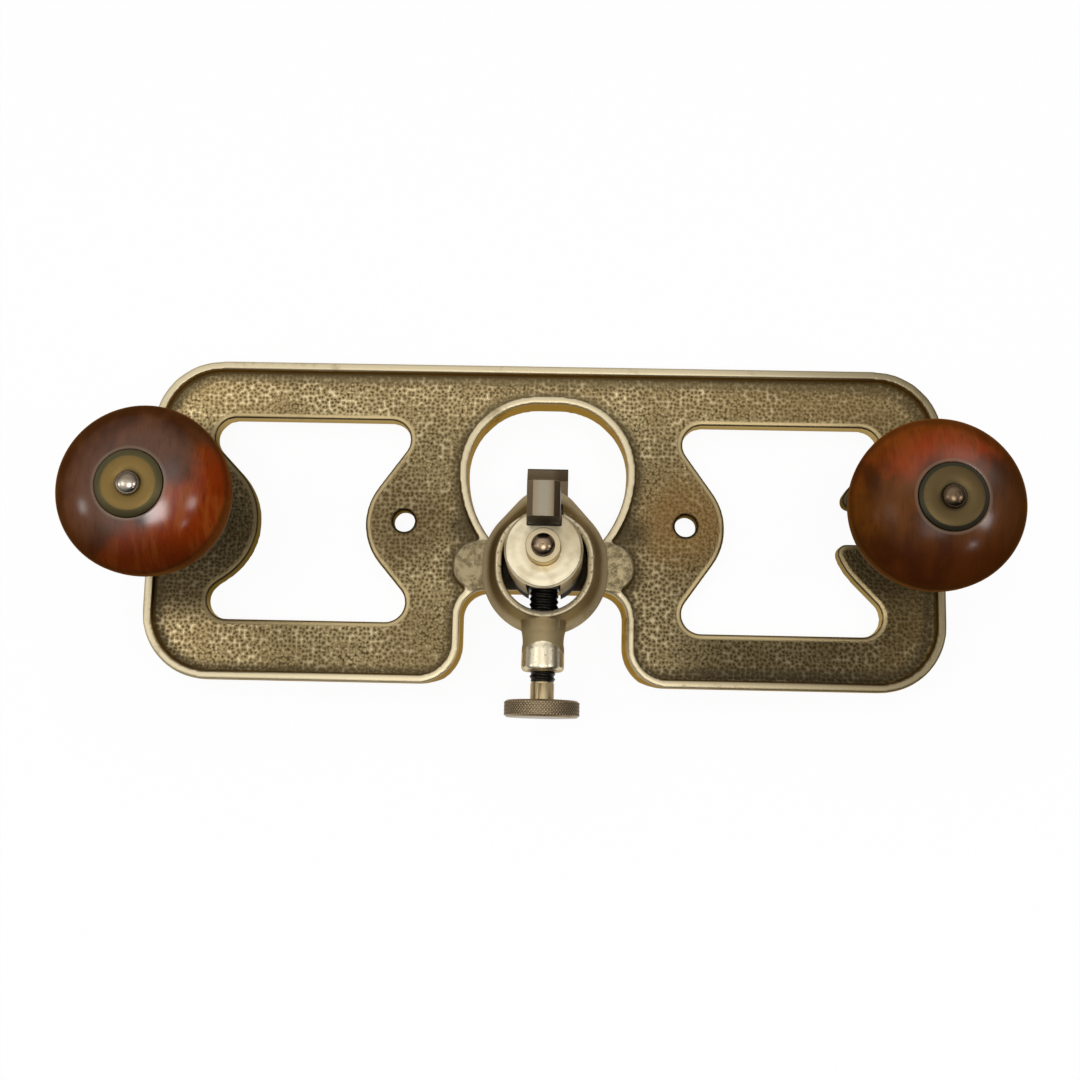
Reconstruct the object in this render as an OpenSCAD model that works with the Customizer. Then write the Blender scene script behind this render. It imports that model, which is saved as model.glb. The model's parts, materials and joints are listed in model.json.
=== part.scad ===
// Hand router plane: a plated casting with a closed loop in front and an open throat behind,
// two turned knobs, and a cutter that a collar and thumbscrew clamp to an upright pillar.
// Millimetres, +Z up, +X to the right, +Y towards the cutting edge.
// The origin lies on the pillar's axis, at the level of the sole.

/* [Casting] */
// Length of the casting
body_l = 190.5; // [180:0.5:205]
// Width of the casting, from front to back
body_w = 77.5; // [74:0.5:84]
// Radius of the outer corners
corner_r = 16.3; // [10:0.1:20]
// Thickness of the plate
plate_t = 4.5; // [3.5:0.1:6]
// Height of the rim above the plate
rim_h = 3.5; // [2:0.1:5]
// Width of the rim along the outer edge and the throat
rim_w = 2.1; // [1.2:0.1:2.8]
// Width of the rim round the loop
loop_rim_w = 2; // [1.2:0.1:2.8]

/* [Loop and throat] */
// Metal between the loop and the front edge
front_band = 9.5; // [7:0.1:12]
// Width of the loop
loop_w = 38.3; // [34:0.1:42]
// Radius of the loop's front corners
loop_corner_r = 16.5; // [14:0.1:17]
// Radius of the loop's sides behind its widest place
loop_side_r = 27; // [24:0.5:34]
// Width of the throat
throat_w = 38; // [34:0.5:42]
// Radius of the throat's inner corners
throat_corner_r = 6; // [4:0.1:8]
// Radius of the throat's mouth
mouth_r = 10; // [6:0.1:12]

/* [Bridge] */
// Distance of the pillar's axis behind the middle of the casting
pillar_set = 10.4; // [9:0.1:12]
// Distance of the pillar's axis to the right of the middle of the casting
pillar_side = 0.5; // [0:0.1:1]
// Width of the bridge, from front to back
bridge_w = 12; // [11:0.1:14]
// Distance of an ear's centre inside the loop's widest place
ear_inset = 3.5; // [2:0.1:5]
// Height of the bridge and its ears above the rim
ear_h = 0.3; // [0:0.1:1.5]

/* [Windows] */
// Metal between the two windows at their corners
window_gap = 66.2; // [62:0.2:70]
// Metal between a window and the end of the casting
end_band = 14.5; // [12:0.1:17]
// Metal between a window and the front or back edge
side_band = 13.4; // [11:0.1:16]
// Extra metal behind the left window
left_window_set = 1.4; // [0:0.1:2]
// Radius of a window's corners
window_corner_r = 4.7; // [3:0.1:5.2]
// Radius of the lobe round a sole screw hole
lobe_r = 15; // [13:0.1:16]
// Distance of that lobe's centre from the hole, towards the pillar
lobe_offset = 5.7; // [4:0.1:8]
// Distance of a seat's centre under a knob from the end of the casting
seat_inset = 9.05; // [8:0.05:10]
// Radius of the lobe round a seat
seat_lobe_r = 16.9; // [15:0.1:17.4]
// Width of the slot in the right knob's lobe
slot_w = 8.7; // [6:0.1:10]
// Distance of the slot in front of the middle of the casting
slot_set = 1.2; // [0:0.1:1.5]
// Radius of the corners at the slot's mouth
slot_corner_r = 2.2; // [1:0.1:3]
// Metal between the slot and the knob's boss
slot_land = 0.9; // [0.5:0.1:2]

/* [Sole screw holes] */
// Distance between the two screw holes
screw_spacing = 68; // [64:0.5:72]
// Radius of a screw hole
screw_hole_r = 2.6; // [1.5:0.05:3.2]
// Distance of the holes in front of the middle of the casting
screw_set = 0.6; // [0:0.1:2]

/* [Knobs] */
// Distance of the left knob's axis from the end of the casting
left_knob_inset = 8.65; // [8:0.05:10]
// Distance of the right knob's axis from the end of the casting
right_knob_inset = 10.45; // [8:0.05:11]
// Radius of a knob at its widest place
knob_r = 18.7; // [15:0.1:21]
// Height of a knob's widest place above its boss
knob_belly_h = 33.7; // [28:0.1:40]
// Height of the rounded crown above the widest place
knob_crown_h = 10.8; // [9:0.1:14]
// Depth of the rounded underside below the widest place
knob_under_h = 25; // [18:0.5:27]
// Radius of a knob's foot
knob_foot_r = 8; // [7:0.1:9]
// Height of a knob's foot
knob_foot_h = 1.6; // [1:0.1:3]
// Radius of a knob's neck
knob_neck_r = 6.6; // [5.5:0.1:7.5]
// Height of a knob's boss above the rim
boss_h = 0.3; // [0.2:0.1:1.5]
// Radius of a knob's washer
washer_r = 7.5; // [6:0.1:9]
// Thickness of a knob's washer
washer_t = 1.4; // [1:0.1:2]
// Depth of the washer's recess below the crown's edge there
washer_sink = 0.8; // [0.3:0.1:1.2]

/* [Studs] */
// Radius of the studs that hold the knobs and the pillar
stud_r = 2.4; // [2:0.1:3]
// Radius of a stud's head in the sole
stud_head_r = 4.3; // [3.6:0.1:5]
// Height of a stud's head in the sole
stud_head_h = 2; // [1.5:0.1:2.6]
// Radius of a stud's rounded top
dome_r = 2.6; // [2.5:0.1:3.4]
// Height of a stud's rounded top
dome_h = 1.6; // [1:0.1:2.2]

/* [Pillar] */
// Radius of the pillar
pillar_r = 8.7; // [7.5:0.1:10]
// Height of the pillar's shoulder above the bridge
pillar_h = 27.3; // [23:0.1:30]
// Height of the bevel above the shoulder
pillar_bevel_h = 0.8; // [0.4:0.1:2]
// Width of the bevel
pillar_bevel_w = 0.5; // [0.3:0.1:1.5]
// Radius of the collet round the stud, on top of the pillar
pillar_ring_r = 3.8; // [3.6:0.05:5]
// Height of the collet
pillar_ring_h = 5.7; // [4:0.1:7]
// Depth of the front and rear channels in the pillar
channel_d = 3.5; // [2:0.1:4]

/* [Cutter] */
// Width of the cutter's shank
shank_w = 7.1; // [6:0.1:7.4]
// Depth of the shank, from front to back
shank_d = 7.8; // [7:0.1:9]
// Bevel along the sides of the shank's top
shank_bevel = 1.3; // [0.5:0.1:2]
// Height of the shank above the cutting edge
shank_h = 47.6; // [44:0.2:56]
// Width of the cutter's foot
foot_w = 10; // [8.5:0.1:12]
// Length of the foot in front of the shank
foot_l = 12.2; // [9:0.1:15]
// Thickness of the foot where it leaves the shank
foot_t = 3.8; // [3:0.1:4]
// Thickness of the foot where its bevel starts
toe_t = 3; // [2:0.1:3.4]
// Length of the bevel at the cutting edge
bevel_l = 3.6; // [2:0.1:5]
// Radius of the corner between shank and foot
heel_r = 1.2; // [0.6:0.1:1.3]
// Rise of the foot's underside from the edge to the shank
relief = 0.7; // [0.3:0.1:1.2]
// Height of the cutting edge above the sole at rest
edge_z = 0.4; // [0.3:0.1:0.8]

/* [Collar] */
// Space between the pillar and the collar's bore
collar_play = 1.1; // [0.6:0.1:1.6]
// Length by which the collar is drawn out to the rear
collar_back = 2.2; // [1.6:0.1:3]
// Thickness of the collar's wall
collar_wall = 4.85; // [3.8:0.05:5.4]
// Metal in front of the shank
nose_wall = 4.4; // [3.6:0.1:5.2]
// Radius of the collar's nose
nose_r = 8.7; // [8:0.1:9.4]
// Bevel round the top of the bore
bore_bevel = 1.1; // [0.6:0.1:1.5]
// Height of the collar
collar_h = 10.4; // [9:0.1:12]
// Height of the collar's upright band below its slope
collar_band_h = 3.5; // [2:0.1:6]
// Width of the crest between the bevel and the slope
crest_w = 0.3; // [0.2:0.1:1]
// Gap between the bridge and the collar at rest
collar_lift = 3.5; // [3.2:0.1:5]
// Radius of the boss for the thumbscrew
screw_boss_r = 4.95; // [4.6:0.05:5.2]
// Length of that boss behind the collar's wall
screw_boss_l = 8.75; // [6:0.05:12]

/* [Thumbscrew] */
// Radius of the thumbscrew's threaded stem
screw_r = 3.4; // [2.6:0.1:3.6]
// Length of thread that shows behind the boss at rest
thread_out = 2.2; // [1:0.1:3]
// Radius of its neck
neck_r = 2.8; // [2.2:0.1:3]
// Length of neck between the boss and the head at rest
neck_l = 6.5; // [5:0.1:8]
// Radius of the head
head_r = 8.7; // [7.5:0.1:9.5]
// Thickness of the head
head_t = 3.9; // [3.2:0.1:6]
// Bevel along the head's edges
head_bevel = 0.6; // [0.3:0.1:1]
// Radius of the pin at the tip, which turns in the shoe
tip_r = 1.6; // [1.2:0.1:2]
// Thickness of the pressure shoe
shoe_t = 1.6; // [1.2:0.1:2]
// Height of the pressure shoe
shoe_h = 7; // [6:0.1:8]

/* [Clearances] */
// Radial clearance of a turning or sliding round fit
run_gap = 0.05; // [0.02:0.01:0.1]
// Gap between the shank and what guides it
shank_gap = 0.2; // [0.1:0.05:0.3]
// Gap at a face that the thumbscrew presses
press_gap = 0.05; // [0.02:0.01:0.1]
// Gap round a washer in its recess
washer_gap = 0.1; // [0.05:0.05:0.3]

/* [Hidden] */

$fn = 64;
// Angle between the points of a rounded outline
arc_step = 6;
// Length by which a cut runs past the faces it opens
past = 1;

// Casting
rim_top = plate_t + rim_h;
bridge_top = rim_top + ear_h;
front_y = pillar_set + body_w / 2;
loop_half = loop_w / 2;
throat_half = throat_w / 2;
ear_r = bridge_w / 2;
ear_x = loop_half - ear_inset;
loop_mid_y = front_y - front_band - loop_corner_r;

// Windows and knobs
left_knob_x = left_knob_inset - body_l / 2;
right_knob_x = body_l / 2 - right_knob_inset;
seat_x = body_l / 2 - seat_inset;
window_in = window_gap / 2;
window_out = body_l / 2 - end_band;
window_half = body_w / 2 - side_band;
lobe_x = screw_spacing / 2 - lobe_offset;
knob_boss_r = knob_foot_r;
boss_top = rim_top + boss_h;

// Knob heights
belly_z = boss_top + knob_belly_h;
washer_seat_r = washer_r + washer_gap;
recess_z = belly_z + knob_crown_h * sqrt(1 - pow(washer_seat_r / knob_r, 2)) - washer_sink;
stud_hole_r = stud_r + run_gap;

// Pillar
shoulder_z = bridge_top + pillar_h;
pillar_top = shoulder_z + pillar_bevel_h;
ring_top = pillar_top + pillar_ring_h;
channel_w = shank_w + 2 * shank_gap;
channel_y = pillar_r - channel_d;

// Cutter
shank_back = channel_y + press_gap;
shank_front = shank_back + shank_d;
toe_y = shank_front + foot_l;

// Collar: a bore round the pillar, with a notch in front for the shank
bore_r = pillar_r + collar_play;
collar_r = bore_r + collar_wall;
notch_end = shank_front + shank_gap;
nose_y = notch_end + nose_wall - nose_r;
nose_angle = asin((collar_r - nose_r) / nose_y);
collar_z = bridge_top + collar_lift;
screw_z = collar_z + collar_h / 2;
boss_end = collar_r + collar_back + screw_boss_l;

// Thumbscrew and shoe, measured to the rear from the pillar's axis
shoe_front = channel_y + press_gap;
shoe_back = shoe_front + shoe_t;
tip_start = shoe_front + press_gap;
stem_start = shoe_back + press_gap;
thread_end = boss_end + thread_out;
neck_start = thread_end + screw_r - neck_r;
head_start = boss_end + neck_l;
shoe_w = channel_w - 2 * shank_gap;

// Points along an arc from angle a0 to a1, which may run either way
function arc(centre, r, a0, a1) =
    let (steps = ceil(abs(a1 - a0) / arc_step))
    [for (i = [0:steps]) let (a = a0 + (a1 - a0) * i / steps) centre + r * [cos(a), sin(a)]];

function flip_x(points) = [for (i = [len(points) - 1:-1:0]) [-points[i].x, points[i].y]];

function flip_y(points) = [for (i = [len(points) - 1:-1:0]) [points[i].x, -points[i].y]];

// Half of an outline, closed by its mirror image across the Y axis
function with_left(right) = concat(right, flip_x(right));

// Outer edge of the casting with its open throat, about its middle, moved inwards by inset
function body_outline(inset) =
    let (
        end_x = body_l / 2 - corner_r,
        side_y = body_w / 2 - corner_r,
        mouth = [throat_half + mouth_r, mouth_r - body_w / 2],
        inner = [throat_half - throat_corner_r, -pillar_set - ear_r - throat_corner_r]
    )
    with_left(concat(
        arc(inner, throat_corner_r + inset, 90, 0),
        arc(mouth, mouth_r - inset, 180, 270),
        arc([end_x, -side_y], corner_r - inset, 270, 360),
        arc([end_x, side_y], corner_r - inset, 0, 90)
    ));

// Loop in front of the bridge, moved outwards by grow and closed at low_y
function loop_outline(grow, low_y) =
    let (
        side = [loop_half - loop_side_r, loop_mid_y],
        start = asin((low_y - loop_mid_y) / (loop_side_r + grow))
    )
    with_left(concat(
        arc(side, loop_side_r + grow, start, 0),
        arc([loop_half - loop_corner_r, loop_mid_y], loop_corner_r + grow, 0, 90)
    ));

// Direction of the straight run between a window's corner and a lobe on its other side
function run_angle(corner, lobe, radius, turn) =
    let (d = lobe - corner)
    atan2(d.y, d.x) + turn * acos(min(1, (window_corner_r + radius) / norm(d)));

// Front half of one side of a window: its corner, then the lobe up to the middle line
function window_corner(corner, lobe, radius, turn) =
    let (a = run_angle(corner, lobe, radius, turn))
    concat(
        arc(corner, window_corner_r, 90, turn < 0 ? a + 360 : a),
        arc(lobe, radius, a + 180, turn < 0 ? 0 : 180)
    );

// Front half of the right window, which reaches half_w from the casting's middle line
function half_window(half_w) =
    let (
        corner_y = half_w - window_corner_r,
        inner = window_corner([window_in + window_corner_r, corner_y], [lobe_x, 0], lobe_r, -1),
        outer = window_corner([window_out - window_corner_r, corner_y], [seat_x, 0], seat_lobe_r, 1)
    )
    concat(flip_order(outer), inner);

// Right window, about the casting's middle line, with its rear edge moved forward by rear_set
function window_outline(rear_set) =
    concat(half_window(window_half), flip_y(half_window(window_half - rear_set)));

// Front side of the slot, which reaches half_w from the casting's middle line
function slot_side(half_w) =
    let (
        corner_y = half_w + slot_corner_r,
        corner_x = seat_x - sqrt(pow(seat_lobe_r - slot_corner_r, 2) - pow(corner_y, 2)),
        turn = atan2(corner_y, corner_x - seat_x)
    )
    concat(
        [[seat_x - seat_lobe_r - past, corner_y]],
        arc([corner_x, corner_y], slot_corner_r, turn, 270),
        [[right_knob_x, half_w]]
    );

function flip_order(points) = [for (i = [len(points) - 1:-1:0]) points[i]];

// Bridge with a round ear at each end, about the middle of the casting
function bridge_outline() = with_left(arc([ear_x, -pillar_set], ear_r, -90, 90));

// Pear-shaped outside of the collar
function collar_outline() =
    with_left(concat(
        arc([0, -collar_back], collar_r, -90, 0),
        arc([0, 0], collar_r, 0, nose_angle),
        arc([0, nose_y], nose_r, nose_angle, 90)
    ));

// Bore of the collar, drawn out to the rear and moved outwards by grow
function bore_outline(grow) =
    with_left(concat(
        arc([0, -collar_back], bore_r + grow, -90, 0),
        arc([0, 0], bore_r + grow, 0, 90)
    ));

// Half section of a knob, from its bore outwards: foot, neck, rounded underside and crown
function knob_section() =
    let (
        foot_z = boss_top + knob_foot_h,
        under_end = acos(knob_neck_r / knob_r),
        neck_z = belly_z - knob_under_h * sin(under_end),
        crown_end = acos(washer_seat_r / knob_r)
    )
    concat(
        [[stud_hole_r, boss_top], [knob_foot_r, boss_top], [knob_foot_r, foot_z]],
        [for (t = [0.2:0.2:0.8])
            [knob_neck_r + (knob_foot_r - knob_neck_r) * pow(1 - t, 2), foot_z + (neck_z - foot_z) * t]],
        [for (i = [-16:0]) let (a = under_end * i / 16)
            [knob_r * cos(a), belly_z + knob_under_h * sin(a)]],
        [for (i = [1:10]) let (a = crown_end * i / 10)
            [knob_r * cos(a), belly_z + knob_crown_h * sin(a)]],
        [[washer_seat_r, recess_z], [stud_hole_r, recess_z]]
    );

// Half section of a rounded stud top that stands on the level z
function dome_section(z) = [for (a = [0:15:90]) [dome_r * cos(a), z + dome_h * sin(a)]];

module stud(seat_z) {
    rotate_extrude()
        polygon(concat(
            [[0, 0], [stud_head_r, 0], [stud_r, stud_head_h], [stud_r, seat_z]],
            dome_section(seat_z)
        ));
}

// Hole for a stud, with the seat of its head in the sole
module stud_hole(top_z) {
    rotate_extrude()
        polygon([
            [0, -past], [stud_head_r + run_gap, -past], [stud_head_r + run_gap, 0],
            [stud_hole_r, stud_head_h], [stud_hole_r, top_z + past], [0, top_z + past]
        ]);
}

// Places a piece about the middle of the casting
module about_middle() {
    translate([-pillar_side, pillar_set, 0])
        children();
}

module at_knob(side) {
    about_middle()
        translate([side < 0 ? left_knob_x : right_knob_x, 0, 0])
            children();
}

// Plate with the raised rim along its outer edge, the throat and the loop
module rimmed_plate() {
    about_middle()
        difference() {
            linear_extrude(rim_top)
                polygon(body_outline(0));
            translate([0, 0, plate_t])
                linear_extrude(rim_h + past)
                    polygon(body_outline(rim_w));
        }
    linear_extrude(rim_top)
        polygon(loop_outline(loop_rim_w, 0));
}

module through_cut() {
    translate([0, 0, -past])
        linear_extrude(bridge_top + 2 * past)
            children();
}

// Slot in the right knob's lobe, open to the window, with a land round the knob's boss
module lobe_slot() {
    about_middle()
        difference() {
            polygon(concat(slot_side(slot_w / 2 + slot_set), flip_y(slot_side(slot_w / 2 - slot_set))));
            translate([right_knob_x, 0])
                circle(r = knob_boss_r + slot_land);
        }
}

module frame_casting() {
    color([0.56, 0.5, 0.4])
        difference() {
            union() {
                rimmed_plate();
                about_middle()
                    linear_extrude(bridge_top)
                        polygon(bridge_outline());
                for (side = [-1, 1])
                    at_knob(side)
                        cylinder(r = knob_boss_r, h = boss_top);
            }
            for (side = [0, 1])
                through_cut()
                    about_middle()
                        mirror([side, 0, 0])
                            polygon(window_outline(side * left_window_set));
            through_cut()
                polygon(loop_outline(0, ear_r));
            through_cut()
                lobe_slot();
            through_cut()
                translate([-channel_w / 2, channel_y])
                    square([channel_w, ear_r]);
            for (side = [-1, 1]) {
                about_middle()
                    translate([side * screw_spacing / 2, screw_set, -past])
                        cylinder(r = screw_hole_r, h = plate_t + 2 * past);
                at_knob(side)
                    stud_hole(boss_top);
            }
            stud_hole(bridge_top);
        }
}

// The front channel runs out at the top for the shank, the rear one stops below the shoulder
module pillar() {
    color([0.78, 0.74, 0.64])
        difference() {
            rotate_extrude()
                polygon([
                    [stud_hole_r, bridge_top], [pillar_r, bridge_top], [pillar_r, shoulder_z],
                    [pillar_r - pillar_bevel_w, pillar_top], [pillar_ring_r, pillar_top],
                    [pillar_ring_r, ring_top], [stud_hole_r, ring_top]
                ]);
            translate([-channel_w / 2, channel_y, bridge_top - past])
                cube([channel_w, pillar_r, ring_top]);
            translate([-channel_w / 2, -channel_y - pillar_r, bridge_top - past])
                cube([channel_w, pillar_r, pillar_h + past]);
        }
}

module pillar_stud() {
    color([0.45, 0.41, 0.36])
        stud(ring_top);
}

module outline_slab(z, points) {
    translate([0, 0, z])
        linear_extrude(past)
            polygon(points);
}

module collar_body() {
    linear_extrude(collar_band_h)
        polygon(collar_outline());
    hull() {
        outline_slab(collar_band_h - past, collar_outline());
        outline_slab(collar_h - past, bore_outline(bore_bevel + crest_w));
    }
    translate([0, -bore_r - collar_back - collar_wall / 2, collar_h / 2])
        rotate([90, 0, 0])
            cylinder(r = screw_boss_r, h = screw_boss_l + collar_wall / 2);
}

module collar() {
    color([0.68, 0.62, 0.5])
        translate([0, 0, collar_z])
            difference() {
                collar_body();
                translate([0, 0, -past])
                    linear_extrude(collar_h + 2 * past)
                        polygon(bore_outline(0));
                hull() {
                    outline_slab(collar_h - bore_bevel - past, bore_outline(0));
                    outline_slab(collar_h, bore_outline(bore_bevel));
                }
                translate([-channel_w / 2, 0, -past])
                    cube([channel_w, notch_end, collar_h + 2 * past]);
                translate([0, 0, collar_h / 2])
                    rotate([90, 0, 0])
                        cylinder(r = screw_r + run_gap, h = boss_end + past);
            }
}

// Small block in the pillar's rear channel, which swivels on the thumbscrew's tip
module pressure_shoe() {
    color([0.12, 0.11, 0.1])
        translate([0, 0, screw_z])
            difference() {
                translate([-shoe_w / 2, -shoe_back, -shoe_h / 2])
                    cube([shoe_w, shoe_t, shoe_h]);
                rotate([90, 0, 0])
                    cylinder(r = tip_r + run_gap, h = shoe_back + past);
            }
}

module thumbscrew() {
    color([0.4, 0.33, 0.24])
        translate([0, 0, screw_z])
            rotate([90, 0, 0])
                rotate_extrude()
                    polygon([
                        [0, tip_start], [tip_r, tip_start], [tip_r, stem_start],
                        [screw_r, stem_start], [screw_r, thread_end], [neck_r, neck_start],
                        [neck_r, head_start], [head_r - head_bevel, head_start],
                        [head_r, head_start + head_bevel], [head_r, head_start + head_t - head_bevel],
                        [head_r - head_bevel, head_start + head_t], [0, head_start + head_t]
                    ]);
}

// Side view of the foot, with Y along the first axis and Z along the second
function foot_section() =
    let (
        back_y = (shank_back + shank_front) / 2,
        heel = [shank_front + heel_r, edge_z + foot_t + heel_r]
    )
    concat(
        [[toe_y, edge_z], [toe_y - bevel_l, edge_z + toe_t]],
        arc(heel, heel_r, 270, 180),
        [[back_y, edge_z + foot_t + heel_r], [back_y, edge_z + relief]]
    );

// Front view of the shank, with X along the first axis and Z along the second
function shank_section() =
    let (side = shank_w / 2, low_z = edge_z + relief, top_z = edge_z + shank_h)
    with_left([[side, low_z], [side, top_z - shank_bevel], [side - shank_bevel, top_z]]);

module cutter() {
    color([0.5, 0.48, 0.44]) {
        translate([0, shank_front, 0])
            rotate([90, 0, 0])
                linear_extrude(shank_d)
                    polygon(shank_section());
        translate([-foot_w / 2, 0, 0])
            rotate([90, 0, 90])
                linear_extrude(foot_w)
                    polygon(foot_section());
    }
}

module knob(side) {
    color([0.36, 0.13, 0.05])
        at_knob(side)
            rotate_extrude()
                polygon(knob_section());
}

module knob_washer(side) {
    top_z = recess_z + washer_t;
    color([0.5, 0.44, 0.25])
        at_knob(side)
            rotate_extrude()
                polygon([
                    [stud_hole_r, recess_z], [washer_r, recess_z], [washer_r, top_z - washer_t / 3],
                    [washer_r - washer_t / 3, top_z], [stud_hole_r, top_z]
                ]);
}

module knob_stud(side) {
    color([0.45, 0.41, 0.36])
        at_knob(side)
            stud(recess_z + washer_t);
}

frame_casting();
pillar();
pillar_stud();
collar();
pressure_shoe();
thumbscrew();
cutter();
knob(-1);  // left_knob
knob(1);  // right_knob
knob_washer(-1);  // left_knob_washer
knob_washer(1);  // right_knob_washer
knob_stud(-1);  // left_knob_stud
knob_stud(1);  // right_knob_stud
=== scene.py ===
"""Looks of a hand router plane: a worn plated casting, two turned knobs, and a cutter in its clamp.

Sizes are in millimetres and become metres where a mesh is made. The frame is the CAD model's:
the origin on the pillar's axis at the sole, X to the right, Y towards the cutting edge and Z up.
"""

import json
import math

import bmesh
import bpy
import numpy as np
from mathutils import Matrix, Vector
from mathutils.kdtree import KDTree


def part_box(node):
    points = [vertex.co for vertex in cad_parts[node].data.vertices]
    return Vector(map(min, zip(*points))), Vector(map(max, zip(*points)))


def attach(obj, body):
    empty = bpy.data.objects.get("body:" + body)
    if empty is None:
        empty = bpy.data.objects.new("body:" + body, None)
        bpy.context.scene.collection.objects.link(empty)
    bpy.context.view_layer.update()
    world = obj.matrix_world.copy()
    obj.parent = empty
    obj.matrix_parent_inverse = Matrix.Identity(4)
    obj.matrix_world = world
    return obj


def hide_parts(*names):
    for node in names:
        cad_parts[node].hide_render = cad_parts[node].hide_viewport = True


MM = 0.001

# Meshes: gap that is joined, and turns in degrees of faces made one and of edges rounded or followed
JOIN_GAP = 0.002
FLAT_TURN = 0.4
ROUNDED_TURN = 28.0
FOLLOWED_TURN = 40.0
LEVEL_SLACK = 0.02
SOLE_SLACK = 0.1

# Camera, fitted to the casting's outline, its holes and the knobs
CAMERA_PLACE = (6.03, -47.37, 350.49)
CAMERA_PITCH = 8.916
CAMERA_YAW = 1.248
CAMERA_ROLL = 1.27
CAMERA_LENS = 48.5
CAMERA_SENSOR = 36

# Casting
PLATE_TOP = 4.5
RIM_TOP = 8.0
EAR_TOP = 8.3
CASTING_VOXEL = 0.42
CASTING_ROUNDS = 3
ROOT_REACH = 1.5
ROOT_ROUNDS = 26
ROOT_SHADE_REACH = 4.2
RIDGE_REACH = 1.2
RIDGE_ROUNDS = 6
BORDER_REACH = 2.2
CUT_REACH = 0.9
EDGE_SAMPLE = 0.3
LEFT_HOLE = (-34.5, 11.0)
RIGHT_HOLE = (33.5, 11.0)
# Stipple: spacing of its dots and pebbles, and how unevenly they lie
PUNCH = (1.05, 0.74)
PEBBLE = (0.72, 0.9)
# Shade under the knobs and at the slot: centre, distances of full shade and of none, and depth
KNOB_SHADE = (
    ((-87.1, 10.4), 18.0, 27.0, 0.8),
    ((84.3, 10.4), 12.0, 21.0, 0.55),
    ((73.0, 18.0), 4.5, 7.5, 0.85),
)
# Darker patches beside the ears, painted shade of the rims with soil: middle of each patch
EAR_DARK_PATCHES = ((-19.5, 9.5), (20.5, 9.0))
# Lean of the throat's walls away from its middle, at the rim, on the left and the right
THROAT_LEAN = (0.5, 1.1)
THROAT_FRONT = -5.0
THROAT_SIDE = 27.0
THROAT_REACH = 5.0
THROAT_FADE = 8.0
REAR_DRAW = 0.45
REAR_EDGE = -28.0
REAR_FADE = 1.5

# Clamp collar: a pear-shaped ring with a round bore, and a notch in front for the cutter's shank
COLLAR_R = 14.65
COLLAR_BACK = 2.2
COLLAR_Z = 11.8
COLLAR_H = 10.4
NOSE_R = 8.7
NOSE_Y = 8.95
NOSE_ANGLE = 41.7
COLLAR_VOXEL = 0.22
COLLAR_ROUNDS = 3
# Outside of the ring: share of the way from its pear-shaped band to its round crest, and height
# from the collar's underside
COLLAR_SKIN = (
    (0.15, 0.0), (0.04, 0.15), (0.0, 0.5), (0.0, 1.7), (0.05, 2.25), (0.2, 2.95), (0.36, 3.9),
    (0.5, 5.2), (0.64, 7.0), (0.78, 8.8), (0.88, 9.8), (0.95, 10.25), (1.0, 10.4),
)
CREST_R = 11.2
CREST_FROM = 9.2
CREST_FADE = 0.3
# Bore: distance out from its straight wall, and height from the collar's underside
BORE_R = 9.8
BORE_SKIN = ((1.1, -0.7), (0.0, 0.4), (0.0, 10.05), (1.1, 10.4), (4.2, 11.4))
NOTCH_HALF = 3.75
NOTCH_END = 13.25
# Slack with which a point counts as on the bore or the notch, up to the bevel
BORE_SLACK = 0.25
NOTCH_SLACK = 0.2
BEVEL_FROM = 9.8
SCREW_Z = 17.0
BOSS_BORE_R = 3.45
BOSS_SEGMENTS = 72
# Boss for the thumbscrew: distance to the rear of the pillar's axis, and radius
BOSS_SECTION = (
    (13.5, 5.1), (16.2, 5.1), (17.2, 4.85), (18.6, 4.7), (19.6, 4.72), (20.0, 4.86), (24.6, 4.95),
    (25.2, 4.75), (25.6, 4.2),
)

# Thumbscrew, measured to the rear of the pillar's axis
TIP_START = 5.3
STEM_START = 6.9
STEM_END = 27.8
HEAD_START = 32.1
HEAD_END = 36.0
TIP_R = 1.6
THREAD_R = 3.4
THREAD_RELIEF = 0.4
THREAD_DEPTH = 0.36
THREAD_PITCH = 1.27
NECK_R = 2.75
HEAD_R = 8.7
HEAD_BEVEL = 0.35
KNURL_DEPTH = 0.28
KNURL_COUNT = 72
KNURL_PITCH = 0.85
SCREW_SEGMENTS = 360

# Knobs, from the boss that they stand on to the washer's seat
KNOB_SEGMENTS = 128
KNOB_BOTTOM = 8.3
KNOB_R = 18.7
KNOB_BELLY_Z = 42.0
KNOB_X = 85.7
KNOB_Y = 10.4
KNOB_CROWN = 10.8
KNOB_UNDER = 25.0
KNOB_NECK_R = 6.6
KNOB_FOOT_R = 8.0
KNOB_FOOT_TOP = 9.9
KNOB_SEAT_R = 7.35
KNOB_SEAT_Z = 51.07
KNOB_LIP = 0.45

# Washers and studs
WASHER_R = 7.25
WASHER_T = 1.4
# Width of the washers' bevel, and how far the knobs' tops lean off their axes
WASHER_BEVEL = {"left": 1.5, "right": 0.95}
KNOB_LEAN = {"left": (-0.2, -0.45), "right": (1.0, -0.1)}
STUD_R = 2.4
STUD_HEAD_R = 4.3
STUD_HEAD_H = 2.0
DOME_R = 2.6
DOME_H = 1.6
HOLE_R = 2.45
STUD_SEGMENTS = 48
STUD_MIDDLE_R = 0.02


# Camera

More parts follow.
